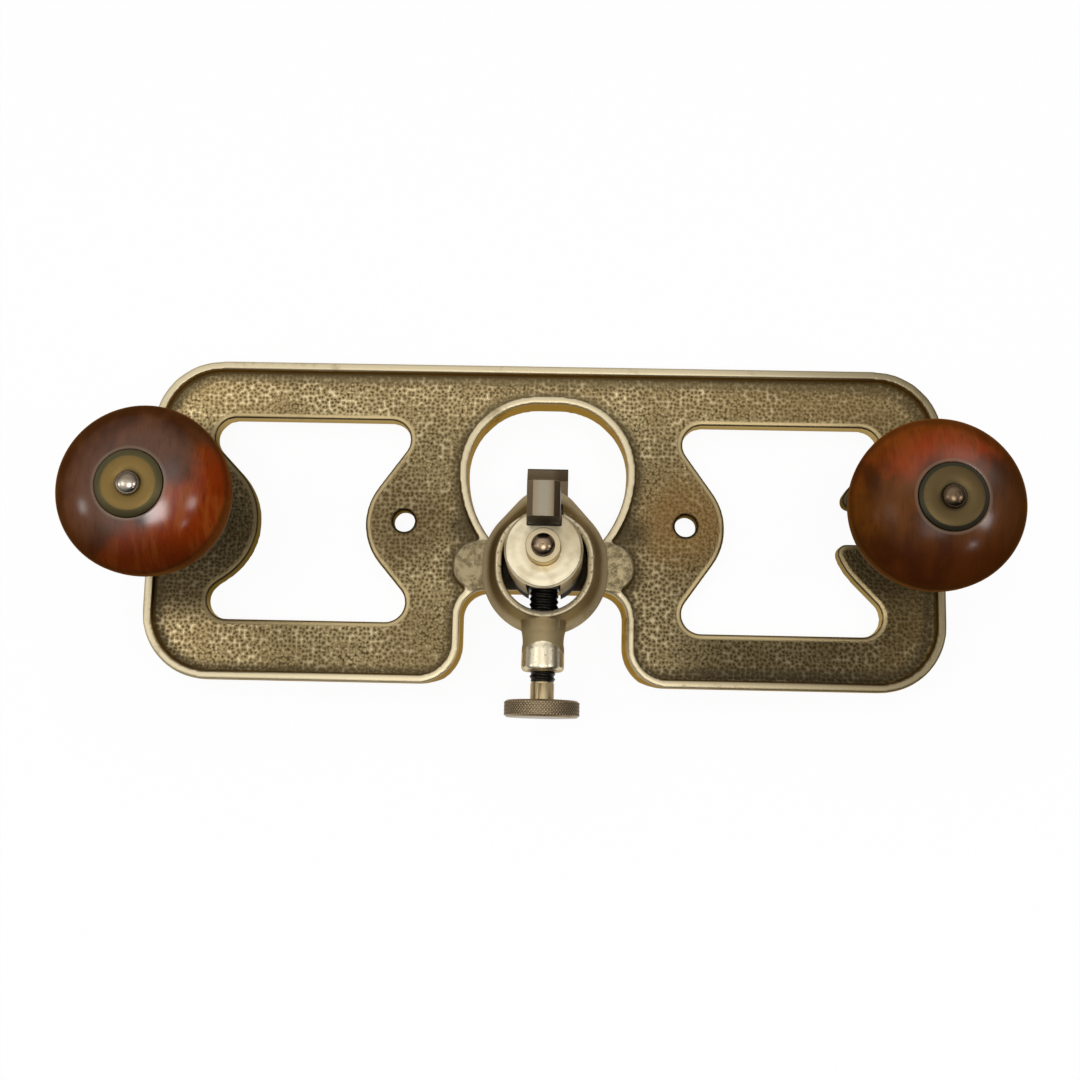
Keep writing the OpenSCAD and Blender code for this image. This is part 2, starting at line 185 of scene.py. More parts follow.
def make_camera():
    """The camera at the photograph's place, looking down with a slight lean."""
    lens = bpy.data.cameras.new("camera")
    lens.lens = CAMERA_LENS
    lens.sensor_width = CAMERA_SENSOR
    lens.clip_start = 0.01
    camera = bpy.data.objects.new("camera", lens)
    bpy.context.scene.collection.objects.link(camera)
    lean = (
        Matrix.Rotation(math.radians(CAMERA_YAW), 4, "Y")
        @ Matrix.Rotation(math.radians(CAMERA_PITCH), 4, "X")
        @ Matrix.Rotation(math.radians(CAMERA_ROLL), 4, "Z")
    )
    camera.matrix_world = Matrix.Translation(Vector(CAMERA_PLACE) * MM) @ lean
    bpy.context.scene.camera = camera


bpy.context.scene.view_settings.view_transform = "Standard"
make_camera()
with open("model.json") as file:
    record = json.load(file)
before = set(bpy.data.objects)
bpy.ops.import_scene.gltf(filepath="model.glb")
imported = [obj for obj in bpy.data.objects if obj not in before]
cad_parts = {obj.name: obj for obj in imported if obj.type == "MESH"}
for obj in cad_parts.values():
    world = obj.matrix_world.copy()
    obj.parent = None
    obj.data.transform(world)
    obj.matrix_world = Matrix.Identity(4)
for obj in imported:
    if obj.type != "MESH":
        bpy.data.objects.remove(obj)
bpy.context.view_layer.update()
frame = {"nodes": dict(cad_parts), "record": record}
node_body = {
    node: body for body, nodes in frame["record"]["behaviour"]["bodies"].items() for node in nodes
}


# Shapes

def link_object(name, mesh):
    made = bpy.data.objects.new(name, mesh)
    bpy.context.scene.collection.objects.link(made)
    return made


def dress(name, node, mesh, finish):
    """A piece in place of a CAD node: it rides on the node's body and wears the given finish, and the node
    is hidden.
    """
    mesh.materials.clear()
    mesh.materials.append(finish)
    piece = link_object(name, mesh)
    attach(piece, node_body[node])
    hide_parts(node)
    return piece


def mesh_of(name, form):
    """The mesh of a bmesh, with smooth faces."""
    bmesh.ops.recalc_face_normals(form, faces=form.faces)
    for face in form.faces:
        face.smooth = True
    mesh = bpy.data.meshes.new(name)
    form.to_mesh(mesh)
    form.free()
    return mesh


def node_form(node):
    """A bmesh of a CAD node, its split corners joined and its flat faces made whole."""
    form = bmesh.new()
    form.from_mesh(frame["nodes"][node].data)
    bmesh.ops.remove_doubles(form, verts=form.verts, dist=JOIN_GAP * MM)
    bmesh.ops.dissolve_limit(
        form, angle_limit=math.radians(FLAT_TURN), verts=form.verts, edges=form.edges
    )
    return form


def eased_copy(name, node, width, finish):
    """A CAD node with every sharp edge rounded over by the width."""
    form = node_form(node)
    sharp = [
        edge for edge in form.edges
        if len(edge.link_faces) == 2 and edge.calc_face_angle() > math.radians(ROUNDED_TURN)
    ]
    bmesh.ops.bevel(
        form, geom=sharp, offset=width * MM, segments=3, profile=0.5, affect="EDGES",
        clamp_overlap=True,
    )
    piece = dress(name, node, mesh_of(name, form), finish)
    normals = piece.modifiers.new("even_normals", "WEIGHTED_NORMAL")
    normals.weight = 100
    return piece


def ring_mesh(name, rings, capped=True):
    """A skin over rings of points in millimetres, each ring with as many points as the next."""
    form = bmesh.new()
    rows = [[form.verts.new(Vector(point) * MM) for point in ring] for ring in rings]
    for low, high in zip(rows, rows[1:] if capped else rows[1:] + rows[:1]):
        for i, vert in enumerate(low):
            j = (i + 1) % len(low)
            form.faces.new((vert, low[j], high[j], high[i]))
    if capped:
        form.faces.new(rows[0])
        form.faces.new(rows[-1])
    return mesh_of(name, form)


def turned(name, section, centre, segments=KNOB_SEGMENTS):
    """A turned form with an upright axis: section is a closed line of radius and height."""
    turns = [2 * math.pi * i / segments for i in range(segments)]
    return ring_mesh(
        name,
        [
            [(centre[0] + r * math.cos(a), centre[1] + r * math.sin(a), z) for a in turns]
            for r, z in section
        ],
        capped=False,
    )


def evaluated(holder):
    """The mesh of an object after its modifiers; the object itself is removed."""
    graph = bpy.context.evaluated_depsgraph_get()
    mesh = bpy.data.meshes.new_from_object(holder.evaluated_get(graph))
    bpy.data.objects.remove(holder)
    return mesh


def voxel_modifier(holder, voxel):
    change = holder.modifiers.new("even_skin", "REMESH")
    change.mode = "VOXEL"
    change.voxel_size = voxel * MM
    change.use_smooth_shade = True


def points_of(mesh):
    points = np.empty(len(mesh.vertices) * 3)
    mesh.vertices.foreach_get("co", points)
    return points.reshape(-1, 3)


def edges_of(mesh):
    edges = np.empty(len(mesh.edges) * 2, dtype=np.int64)
    mesh.edges.foreach_get("vertices", edges)
    return edges.reshape(-1, 2)


def soften(mesh, rounds, share=None):
    """Draws each point half way to the middle of its neighbours, rounds times; share limits it."""
    points, edges = points_of(mesh), edges_of(mesh)
    near = np.concatenate([edges[:, 0], edges[:, 1]])
    far = np.concatenate([edges[:, 1], edges[:, 0]])
    count = np.bincount(near, minlength=len(points))
    share = np.ones(len(points)) if share is None else share
    for _ in range(rounds):
        middle = np.stack(
            [np.bincount(near, weights=points[far, k], minlength=len(points)) for k in range(3)],
            axis=1,
        ) / np.maximum(count, 1)[:, None]
        points += 0.5 * share[:, None] * (middle - points)
    mesh.vertices.foreach_set("co", points.ravel())
    mesh.update()


def edge_tree(form, level, convex, to_sole=False):
    """A search tree of points along a form's sharp edges at one level, ridges or roots.

    With to_sole only the edges of walls that reach down to the sole are taken.
    """
    places = []
    for edge in form.edges:
        ends = [vert.co for vert in edge.verts]
        level_edge = all(abs(end.z - level * MM) < LEVEL_SLACK * MM for end in ends)
        if not level_edge or len(edge.link_faces) != 2:
            continue
        angle = edge.calc_face_angle_signed()
        if abs(angle) < math.radians(FOLLOWED_TURN) or (angle > 0) != convex:
            continue
        lowest = min(vert.co.z for face in edge.link_faces for vert in face.verts)
        if to_sole and lowest > SOLE_SLACK * MM:
            continue
        steps = max(1, round(edge.calc_length() / (EDGE_SAMPLE * MM)))
        places += [ends[0].lerp(ends[1], i / steps) for i in range(steps + 1)]
    tree = KDTree(len(places))
    for i, place in enumerate(places):
        tree.insert(place, i)
    tree.balance()
    return tree


def distances(tree, points):
    """Distance in millimetres from each point to the nearest point of the tree."""
    return np.array([tree.find(point)[2] for point in points]) / MM


def store(mesh, name, values):
    layer = mesh.attributes.new(name, "FLOAT", "POINT")
    layer.data.foreach_set("value", values.astype(np.float32))


# Shader nodes

# Places of the colour sockets of a Mix node
MIX_FIRST, MIX_SECOND, MIX_RESULT = 6, 7, 2


def feed(tree, socket, value):
    if isinstance(value, bpy.types.NodeSocket):
        tree.links.new(value, socket)
    elif hasattr(value, "__len__") and socket.type == "RGBA" and len(value) == 3:
        socket.default_value = (*value, 1.0)
    else:
        socket.default_value = value


def add(tree, kind, settings=None, **inputs):
    """A shader node with its settings and inputs; an input is a value or another node's socket."""
    made = tree.nodes.new("ShaderNode" + kind)
    for key, value in (settings or {}).items():
        setattr(made, key, value)
    for key, value in inputs.items():
        feed(tree, made.inputs[key.replace("_", " ")], value)
    return made


def maths(tree, operation, first, second=0.0):
    made = tree.nodes.new("ShaderNodeMath")
    made.operation = operation
    feed(tree, made.inputs[0], first)
    feed(tree, made.inputs[1], second)
    return made.outputs[0]


def times(tree, first, *others):
    for other in others:
        first = maths(tree, "MULTIPLY", first, other)
    return first


def plus(tree, first, *others):
    for other in others:
        first = maths(tree, "ADD", first, other)
    return first


def minus(tree, first, second):
    return maths(tree, "SUBTRACT", first, second)


def without(tree, value):
    """One minus the value."""
    return minus(tree, 1.0, value)


def larger(tree, first, second):
    return maths(tree, "MAXIMUM", first, second)


def rise(tree, value, low, high, start=0.0, end=1.0):
    """A smooth rise from start to end as the value goes from low to high."""
    return add(
        tree, "MapRange", {"interpolation_type": "SMOOTHSTEP"}, Value=value,
        From_Min=low, From_Max=high, To_Min=start, To_Max=end,
    ).outputs["Result"]


def mixed(tree, share, first, second):
    """A colour between two, by the share of the second."""
    made = add(tree, "Mix", {"data_type": "RGBA"}, Factor=share)
    feed(tree, made.inputs[MIX_FIRST], first)
    feed(tree, made.inputs[MIX_SECOND], second)
    return made.outputs[MIX_RESULT]


def scaled(tree, colour, gain):
    """A colour made lighter or darker by a factor."""
    return add(tree, "VectorMath", {"operation": "SCALE"}, Vector=colour, Scale=gain).outputs["Vector"]


def noise(tree, place, size, detail=3.0, roughness=0.55, distortion=0.0):
    """Soft noise with blotches of about the size, in millimetres."""
    return add(
        tree, "TexNoise", Vector=place, Scale=1 / (size * MM), Detail=detail,
        Roughness=roughness, Distortion=distortion,
    ).outputs["Fac"]


def stretched(tree, place, scale, turn=(0.0, 0.0, 0.0)):
    return add(tree, "Mapping", Vector=place, Scale=scale, Rotation=turn).outputs["Vector"]


def axes(tree, vector):
    return add(tree, "SeparateXYZ", Vector=vector).outputs


def effect(name, inputs, outputs):
    """An empty node group with named inputs (name, kind, value) and outputs (name, kind)."""
    tree = bpy.data.node_groups.new(name, "ShaderNodeTree")
    for label, kind, value in inputs:
        socket = tree.interface.new_socket(label, in_out="INPUT", socket_type="NodeSocket" + kind)
        if value is not None:
            socket.default_value = value
    for label, kind in outputs:
        tree.interface.new_socket(label, in_out="OUTPUT", socket_type="NodeSocket" + kind)
    return tree, tree.nodes.new("NodeGroupInput").outputs, tree.nodes.new("NodeGroupOutput").inputs


def use(tree, group, **inputs):
    """A node group placed in a material with its own values."""
    made = tree.nodes.new("ShaderNodeGroup")
    made.node_tree = group
    for key, value in inputs.items():
        feed(tree, made.inputs[key.replace("_", " ")], value)
    return made.outputs


def tarnish_effect():
    """Blotches of tarnish: large clouds broken up by small specks."""
    tree, given, out = effect(
        "tarnish",
        [("Place", "Vector", None), ("Clouds", "Float", 120.0), ("Specks", "Float", 900.0),
         ("Amount", "Float", 0.5)],
        [("Mask", "Float")],
    )
    clouds = add(tree, "TexNoise", Vector=given["Place"], Scale=given["Clouds"], Detail=4.0)
    specks = add(tree, "TexNoise", Vector=given["Place"], Scale=given["Specks"], Detail=2.0)
    both = plus(
        tree, times(tree, clouds.outputs["Fac"], 0.68), times(tree, specks.outputs["Fac"], 0.32)
    )
    start = minus(tree, 0.78, times(tree, given["Amount"], 0.5))
    feed(tree, out["Mask"], rise(tree, both, start, plus(tree, start, 0.2)))
    return tree


def rub_effect():
    """Edges rubbed bright: where the surface turns outwards, with gaps."""
    tree, given, out = effect(
        "rubbed_edges",
        [("Place", "Vector", None), ("Start", "Float", 0.51), ("Full", "Float", 0.58)],
        [("Mask", "Float")],
    )
    turn = add(tree, "NewGeometry").outputs["Pointiness"]
    gaps = rise(tree, noise(tree, given["Place"], 1.6), 0.3, 0.55, 0.45, 1.0)
    feed(tree, out["Mask"], times(tree, rise(tree, turn, given["Start"], given["Full"]), gaps))
    return tree


def scratch_effect():
    """Fine scratches in two directions, as a height and a mask."""
    tree, given, out = effect(
        "fine_scratches",
        [("Place", "Vector", None), ("Density", "Float", 2600.0)],
        [("Height", "Float"), ("Mask", "Float")],
    )
    lines = []
    for scale, turn in (((1.0, 0.035, 1.0), 0.35), ((0.05, 1.0, 1.0), -0.22)):
        path = stretched(tree, given["Place"], scale, (0.0, 0.0, turn))
        lines.append(
            add(tree, "TexNoise", Vector=path, Scale=given["Density"], Detail=2.0).outputs["Fac"]
        )
    both = times(tree, plus(tree, *lines), 0.5)
    feed(tree, out["Height"], both)
    feed(tree, out["Mask"], rise(tree, both, 0.56, 0.68))
    return tree


TARNISH = tarnish_effect()
RUBBED = rub_effect()
SCRATCHES = scratch_effect()


def new_finish(name, **plain):
    """A material with its Principled shader: its tree, the object's own coordinates, and the shader."""
    finish = bpy.data.materials.new(name)
    finish.use_nodes = True
    tree = finish.node_tree
    tree.nodes.clear()
    shader = add(tree, "BsdfPrincipled", **plain)
    output = tree.nodes.new("ShaderNodeOutputMaterial")
    tree.links.new(shader.outputs["BSDF"], output.inputs["Surface"])
    place = add(tree, "TexCoord").outputs["Object"]
    return finish, tree, place, shader


def finish_with(tree, shader, colour, roughness, metallic=None, height=None, depth=0.1):
    """Joins what varies over the surface to the shader; depth is the relief in millimetres."""
    feed(tree, shader.inputs["Base Color"], colour)
    feed(tree, shader.inputs["Roughness"], roughness)
    if metallic is not None:
        feed(tree, shader.inputs["Metallic"], metallic)
    if height is not None:
        relief = add(tree, "Bump", Height=height, Distance=depth * MM, Strength=1.0)
        feed(tree, shader.inputs["Normal"], relief.outputs["Normal"])


# Finishes

NICKEL_TINT = (0.65, 0.54, 0.36)
RUBBED_NICKEL = (0.60, 0.52, 0.36)


def attribute(tree, name):
    return add(tree, "Attribute", {"attribute_name": name}).outputs["Fac"]


def facing(tree):
    """The surface's direction, along each axis of the object."""
    return axes(tree, add(tree, "TexCoord").outputs["Normal"])


def upward(tree):
    """Height of the surface's direction: 1 faces up, 0 stands upright, -1 faces down."""
    return facing(tree)["Z"]


def near_place(tree, spot, centre, full, reach):
    """One within a distance of a place on the casting, falling to nothing at the reach."""
    across = minus(tree, spot["X"], centre[0] * MM)
    along = minus(tree, spot["Y"], centre[1] * MM)
    far = maths(tree, "SQRT", plus(tree, times(tree, across, across), times(tree, along, along)))
    return rise(tree, far, reach * MM, full * MM)


def on_right(tree, spot):
    """Nothing on the left of the pillar, one on the right."""
    return rise(tree, spot["X"], -20 * MM, 20 * MM)


def casting_stipple(tree, place, grain):
    """Height of the casting's ground: punched dots in some patches, fine pebbles in others."""
    wander = scaled(
        tree, add(tree, "TexNoise", Vector=place, Scale=1 / (1.2 * MM)).outputs["Color"], 0.5 * MM
    )
    spread = add(tree, "VectorMath", {"operation": "ADD"})
    feed(tree, spread.inputs[0], place)
    feed(tree, spread.inputs[1], wander)
    punch, pebble = (
        add(
            tree, "TexVoronoi", {"feature": "F1", "voronoi_dimensions": "2D"},
            Vector=spread.outputs["Vector"], Scale=1 / (size * MM), Randomness=uneven,
        ).outputs["Distance"]
        for size, uneven in (PUNCH, PEBBLE)
    )
    pitted = rise(tree, noise(tree, place, 9.0, 2.0), 0.36, 0.58, 0.35, 1.0)
    raised = minus(tree, 0.74, pebble)
    cells = plus(tree, times(tree, raised, without(tree, pitted)), times(tree, punch, pitted))
    return plus(tree, cells, times(tree, grain, 0.6), -0.30)


def ground_colour(tree, spot, place, level, far_right, low_right, front):
    """The stippled ground: dark hollows and rubbed tops, brown in patches, darker round the left hole and
    rust-coloured round the right, and lighter towards the front and the far left and darker at the right's
    rear as painted light and shade.
    """
    hollow, middle, top = (0.055, 0.038, 0.015), (0.32, 0.245, 0.122), (0.58, 0.485, 0.30)
    brown, left_hole_dark, rust = (0.112, 0.070, 0.023), (0.080, 0.050, 0.020), (0.19, 0.100, 0.028)
    colour = mixed(tree, rise(tree, level, 0.02, 0.50), hollow, middle)
    colour = mixed(tree, rise(tree, level, 0.48, 0.78), colour, top)
    patches = rise(tree, noise(tree, place, 11.0, 3.0), 0.38, 0.66, 0.36, 0.0)
    colour = mixed(tree, plus(tree, patches, times(tree, far_right, 0.4)), colour, brown)
    for hole, share, tone in ((LEFT_HOLE, 0.5, left_hole_dark), (RIGHT_HOLE, 0.6, rust)):
        hole_tint = times(tree, near_place(tree, spot, hole, 5.0, 17.0), share)
        colour = mixed(tree, hole_tint, colour, tone)
    # Painted light and shade: the ground is scaled lighter towards the front and the far left and darker
    # at the right's rear
    gain = times(
        tree, plus(tree, 1.05, times(tree, front, 0.33)), without(tree, times(tree, low_right, 0.56)),
        rise(tree, spot["X"], -92 * MM, -55 * MM, 1.6, 1.0),
    )
    return scaled(tree, colour, gain)


def wall_colour(tree, tarnish, cut):
    """Brown outer walls, and lighter walls where the windows are cut."""
    outer = mixed(tree, tarnish, (0.36, 0.225, 0.070), (0.22, 0.130, 0.040))
    window = mixed(tree, tarnish, (0.48, 0.36, 0.165), (0.28, 0.195, 0.078))
    return mixed(tree, cut, outer, window)


def rim_colour(tree, tarnish, far_right, low_right):
    """Bright nickel on the rims, duller brown towards the right, and darker at the right's rear as painted
    shade.
    """
    bright, dim = (0.57, 0.485, 0.315), (0.33, 0.255, 0.138)
    dull_right, rim_rear_shade = (0.150, 0.115, 0.058), (0.200, 0.155, 0.082)
    colour = mixed(tree, times(tree, tarnish, 0.8), bright, dim)
    colour = mixed(tree, times(tree, far_right, 0.8), colour, dull_right)
    # Painted shade at the right's rear
    return mixed(tree, times(tree, low_right, 0.45), colour, rim_rear_shade)


def ear_colour(tree, spot, mottle, clamp_shade):
    """Mottled metal on the ears, lighter on the right, and painted black under the clamp as its shade."""
    dark, light, black = (0.115, 0.088, 0.045), (0.30, 0.240, 0.136), (0.012, 0.008, 0.004)
    colour = mixed(tree, mottle, dark, light)
    colour = scaled(tree, colour, rise(tree, spot["X"], -10 * MM, 10 * MM, 1.0, 1.2))
    return mixed(tree, clamp_shade, colour, black)


def root_dirt_and_shade(tree, root, rim, faces_up, far_right, low_right):
    """Soil along the roots of the rims, with painted shade in those corners, which spreads further on the
    right.
    """
    dingy = larger(tree, times(tree, far_right, 0.7), low_right)
    start = rise(tree, dingy, 0.0, 1.0, 0.25, 0.0)
    full = rise(tree, dingy, 0.0, 1.0, 0.80, 0.45)
    by_root = larger(tree, faces_up, rise(tree, root, 0.62, 0.78))
    return times(tree, rise(tree, root, start, full), by_root, without(tree, rim))


def root_dirt_and_shade_colour(tree, front, far_right, low_right):
    """Colour of that band: sandy in front, brown on the right, and nearly black at the right's rear, where
    it is painted shade.
    """
    brown, sandy = (0.092, 0.067, 0.029), (0.200, 0.152, 0.073)
    dark_right, root_rear_shade = (0.066, 0.044, 0.016), (0.022, 0.016, 0.008)
    colour = mixed(tree, front, brown, sandy)
    colour = mixed(tree, times(tree, far_right, 0.7), colour, dark_right)
    return mixed(tree, times(tree, low_right, 0.85), colour, root_rear_shade)


def stippled_casting():
    """Worn nickel on a stippled casting: bright rims, punched ground, dark roots that are partly painted
    shade, brown walls, and painted shade under the knobs, at the slot and under the clamp.
    """
    finish, tree, place, shader = new_finish("stippled_casting", Specular_Tint=(0.60, 0.48, 0.30))
    edge_dark, hole_ring_dark = (0.050, 0.030, 0.010), (0.030, 0.020, 0.008)
    ear_patch_dark, knob_shade = (0.045, 0.034, 0.018), (0.034, 0.024, 0.011)
    spot = axes(tree, place)
    z = spot["Z"]
    up = upward(tree)
    faces_up = rise(tree, up, 0.55, 0.9)
    faces_down = rise(tree, up, -0.5, -0.8)
    root, border, cut = (attribute(tree, name) for name in ("root", "border", "cut"))
    for hole in (LEFT_HOLE, RIGHT_HOLE):
        border = times(tree, border, without(tree, near_place(tree, spot, hole, 4.7, 5.3)))
    above = rise(tree, z, (PLATE_TOP + 0.5) * MM, (PLATE_TOP + 1.6) * MM)
    rim = times(
        tree, rise(tree, z, (RIM_TOP - 1.0) * MM, (RIM_TOP - 0.4) * MM), rise(tree, up, 0.3, 0.65)
    )
    ear = rise(tree, z, (EAR_TOP - 0.2) * MM, (EAR_TOP - 0.1) * MM)
    ground = times(tree, faces_up, without(tree, above), without(tree, rise(tree, border, 0.3, 0.6)))
    far_right = rise(tree, spot["X"], 25 * MM, 95 * MM)
    low_right = times(
        tree, rise(tree, spot["X"], 15 * MM, 45 * MM), rise(tree, spot["X"], 96 * MM, 68 * MM, 0.35, 1.0),
        rise(tree, spot["Y"], 12 * MM, -5 * MM),
    )
    front = rise(tree, spot["Y"], 30 * MM, 42 * MM)
    clamp_shade = near_place(tree, spot, (0.0, 0.0), 10.6, 12.0)
    grain = noise(tree, place, 0.5, 3.0)
    level = casting_stipple(tree, place, grain)
    mottle = rise(tree, noise(tree, place, 2.2, 4.0, 0.65), 0.36, 0.62)
    tarnish = use(tree, TARNISH, Place=place, Clouds=70.0, Specks=700.0, Amount=0.46)["Mask"]
    rubbed = use(tree, RUBBED, Place=place, Start=0.505, Full=0.56)["Mask"]
    scratches = use(tree, SCRATCHES, Place=place, Density=1500.0)

    smooth = mixed(tree, tarnish, (0.43, 0.335, 0.175), (0.29, 0.215, 0.103))
    colour = mixed(tree, faces_up, wall_colour(tree, tarnish, cut), smooth)
    punched = ground_colour(tree, spot, place, level, far_right, low_right, front)
    colour = mixed(tree, ground, colour, punched)
    # A darker line along the edges of the windows, and a dark ring round each hole
    edge = times(tree, rise(tree, border, 0.74, 0.90), without(tree, above))
    colour = mixed(tree, times(tree, edge, 0.9), colour, edge_dark)
    for hole in (LEFT_HOLE, RIGHT_HOLE):
        ring = times(tree, near_place(tree, spot, hole, 2.9, 3.5), 0.9)
        colour = mixed(tree, ring, colour, hole_ring_dark)
    # Darker patches beside the ears: painted shade of the rims, with soil
    for middle in EAR_DARK_PATCHES:
        ear_darkening = times(tree, near_place(tree, spot, middle, 1.0, 6.5), 0.75)
        colour = mixed(tree, ear_darkening, colour, ear_patch_dark)
    for centre, full, reach, depth in KNOB_SHADE:
        shade = times(tree, near_place(tree, spot, centre, full, reach), depth)
        colour = mixed(tree, shade, colour, knob_shade)
    bright = rim_colour(tree, tarnish, far_right, low_right)
    bright = mixed(tree, ear, bright, ear_colour(tree, spot, mottle, clamp_shade))
    colour = mixed(tree, rim, colour, bright)
    # Soil and painted shade along the rims' roots, packed into the hollows of the stipple
    dirt_and_shade = root_dirt_and_shade(tree, root, rim, faces_up, far_right, low_right)
    caked_and_shaded = times(tree, dirt_and_shade, rise(tree, level, 0.25, 0.75, 0.86, 0.5))
    colour = mixed(tree, caked_and_shaded, colour, root_dirt_and_shade_colour(tree, front, far_right, low_right))
    worn = times(tree, rubbed, above, without(tree, far_right), 0.3)
    colour = mixed(tree, worn, colour, RUBBED_NICKEL)
    sole = mixed(tree, scratches["Mask"], (0.36, 0.33, 0.28), (0.52, 0.49, 0.43))
    colour = mixed(tree, faces_down, colour, sole)

    roughness = plus(tree, 0.43, times(tree, tarnish, 0.12), times(tree, ground, 0.12))
    # Not metallic where the ears are painted black as the clamp's shade
    bare = without(tree, times(tree, clamp_shade, ear))
    metallic = times(tree, rise(tree, dirt_and_shade, 0.0, 1.0, 1.0, 0.45), bare)
    height = plus(
        tree, times(tree, level, ground), times(tree, grain, 0.1), times(tree, mottle, ear, 0.3),
        times(tree, scratches["Height"], 0.03),
    )
    finish_with(tree, shader, colour, roughness, metallic, height, 0.17)
    return finish


def cast_nickel():
    """Nickel plate on the collar: bright at the bore's bevel and the boss's turned end, bronze between,
    with painted shade on its left front and in the bore, and painted light on its flared foot.
    """
    finish, tree, place, shader = new_finish(
        "cast_nickel", Specular_Tint=NICKEL_TINT, Specular_IOR_Level=0.1
    )
    shadow_bronze, nick_dirt, bore_black = (0.090, 0.058, 0.022), (0.16, 0.11, 0.05), (0.012, 0.009, 0.005)
    spot = axes(tree, place)
    z, back = spot["Z"], times(tree, spot["Y"], -1.0)
    on_boss = rise(tree, back, 14.0 * MM, 17.6 * MM)
    left_front = rise(tree, minus(tree, spot["Y"], spot["X"]), -8 * MM, 12 * MM)
    flare = rise(tree, z, (COLLAR_Z + 7.0) * MM, (COLLAR_Z + 2.4) * MM)
    arch = plus(tree, 18.9 * MM, times(tree, spot["X"], spot["X"], 0.105 / MM))
    lathe_cut = rise(tree, minus(tree, back, arch), -0.2 * MM, 0.2 * MM)
    root = times(tree, on_boss, without(tree, lathe_cut))
    inside = attribute(tree, "bore")
    tarnish = use(tree, TARNISH, Place=place, Clouds=150.0, Specks=1300.0, Amount=0.45)["Mask"]
    rubbed = use(tree, RUBBED, Place=place, Start=0.52, Full=0.62)["Mask"]
    scratches = use(tree, SCRATCHES, Place=place, Density=2400.0)
    nicks = rise(tree, noise(tree, place, 0.8, 2.0), 0.56, 0.70)
    crest = times(tree, attribute(tree, "crest"), without(tree, times(tree, nicks, 0.6)))
    rough_skin = noise(tree, place, 0.5, 3.0)

    bronze = mixed(tree, tarnish, (0.26, 0.190, 0.095), (0.160, 0.112, 0.052))
    # Painted shade on the collar's left front
    bronze = mixed(tree, times(tree, left_front, 0.75), bronze, shadow_bronze)
    pale = mixed(tree, tarnish, (0.50, 0.40, 0.235), (0.33, 0.25, 0.130))
    olive = mixed(tree, tarnish, (0.37, 0.29, 0.155), (0.255, 0.195, 0.095))
    bright = mixed(tree, times(tree, tarnish, 0.5), (0.68, 0.60, 0.43), (0.46, 0.37, 0.22))
    bright = mixed(tree, times(tree, nicks, 0.55), bright, nick_dirt)
    # Painted light: lighter down towards the flared foot
    colour = mixed(tree, times(tree, flare, 0.9), bronze, pale)
    colour = mixed(tree, root, colour, olive)
    colour = mixed(tree, times(tree, rubbed, 0.35), colour, RUBBED_NICKEL)
    colour = mixed(tree, larger(tree, crest, lathe_cut), colour, bright)
    # Painted shade: the walls of the bore and the notch near black, and not metallic
    colour = mixed(tree, inside, colour, bore_black)
    roughness = plus(
        tree, 0.55, times(tree, tarnish, 0.10), times(tree, crest, -0.12), times(tree, lathe_cut, -0.27),
        times(tree, root, 0.12),
    )
    metallic = times(tree, without(tree, inside), rise(tree, flare, 0.0, 1.0, 1.0, 0.7))
    height = plus(
        tree, times(tree, scratches["Height"], 0.1), times(tree, nicks, -0.25),
        times(tree, rough_skin, without(tree, lathe_cut), 0.6),
    )
    finish_with(tree, shader, colour, roughness, metallic, height, 0.06)
    return finish


def turned_nickel():
    """Nickel plate on the pillar, with the lathe's fine rings on its top, painted shade on the top's right
    front, and its wall painted near black and matt below as the shade inside the collar.
    """
    finish, tree, place, shader = new_finish(
        "turned_nickel", Specular_Tint=NICKEL_TINT, Specular_IOR_Level=0.1
    )
    blotch, dull, worn_neck = (0.36, 0.285, 0.155), (0.26, 0.195, 0.100), (0.38, 0.30, 0.175)
    ring_tone, wall_black = (0.50, 0.42, 0.26), (0.022, 0.015, 0.007)
    spot = axes(tree, place)
    neck = near_place(tree, spot, (0.0, 0.0), 3.7, 4.2)
    right_front = rise(tree, plus(tree, spot["X"], spot["Y"]), 1 * MM, 9 * MM)
    blotches = rise(tree, noise(tree, place, 3.5, 3.0), 0.42, 0.66)
    top = rise(tree, upward(tree), 0.3, 0.8)
    tarnish = use(tree, TARNISH, Place=place, Clouds=190.0, Specks=1500.0, Amount=0.40)["Mask"]
    scratches = use(tree, SCRATCHES, Place=place, Density=2600.0)
    rings = add(
        tree, "TexWave", {"wave_type": "RINGS", "rings_direction": "Z"}, Vector=place,
        Scale=0.16 / MM, Distortion=0.6, Detail=3.0, Detail_Scale=2.0,
    ).outputs["Fac"]
    wall = mixed(tree, tarnish, (0.56, 0.475, 0.31), (0.26, 0.185, 0.085))
    # Painted shade: the wall turns near black, matt and not metallic below the collar's top
    shaded = rise(tree, spot["Z"], 21.0 * MM, 15.0 * MM)
    wall = mixed(tree, shaded, wall, wall_black)
    colour = mixed(tree, times(tree, tarnish, 0.75), (0.64, 0.57, 0.41), (0.40, 0.315, 0.170))
    colour = mixed(tree, times(tree, blotches, 0.45), colour, blotch)
    # Painted shade on the right front of the top
    colour = mixed(tree, times(tree, right_front, 0.5), colour, dull)
    colour = mixed(tree, times(tree, neck, 0.8), colour, worn_neck)
    colour = mixed(tree, times(tree, rings, 0.22), colour, ring_tone)
    colour = mixed(tree, top, wall, colour)
    roughness = plus(
        tree, 0.32, times(tree, tarnish, 0.15), times(tree, rings, 0.07), times(tree, shaded, 0.4)
    )
    height = plus(tree, times(tree, rings, top, 0.5), times(tree, scratches["Height"], 0.3))
    finish_with(tree, shader, colour, roughness, without(tree, shaded), height, 0.03)
    return finish


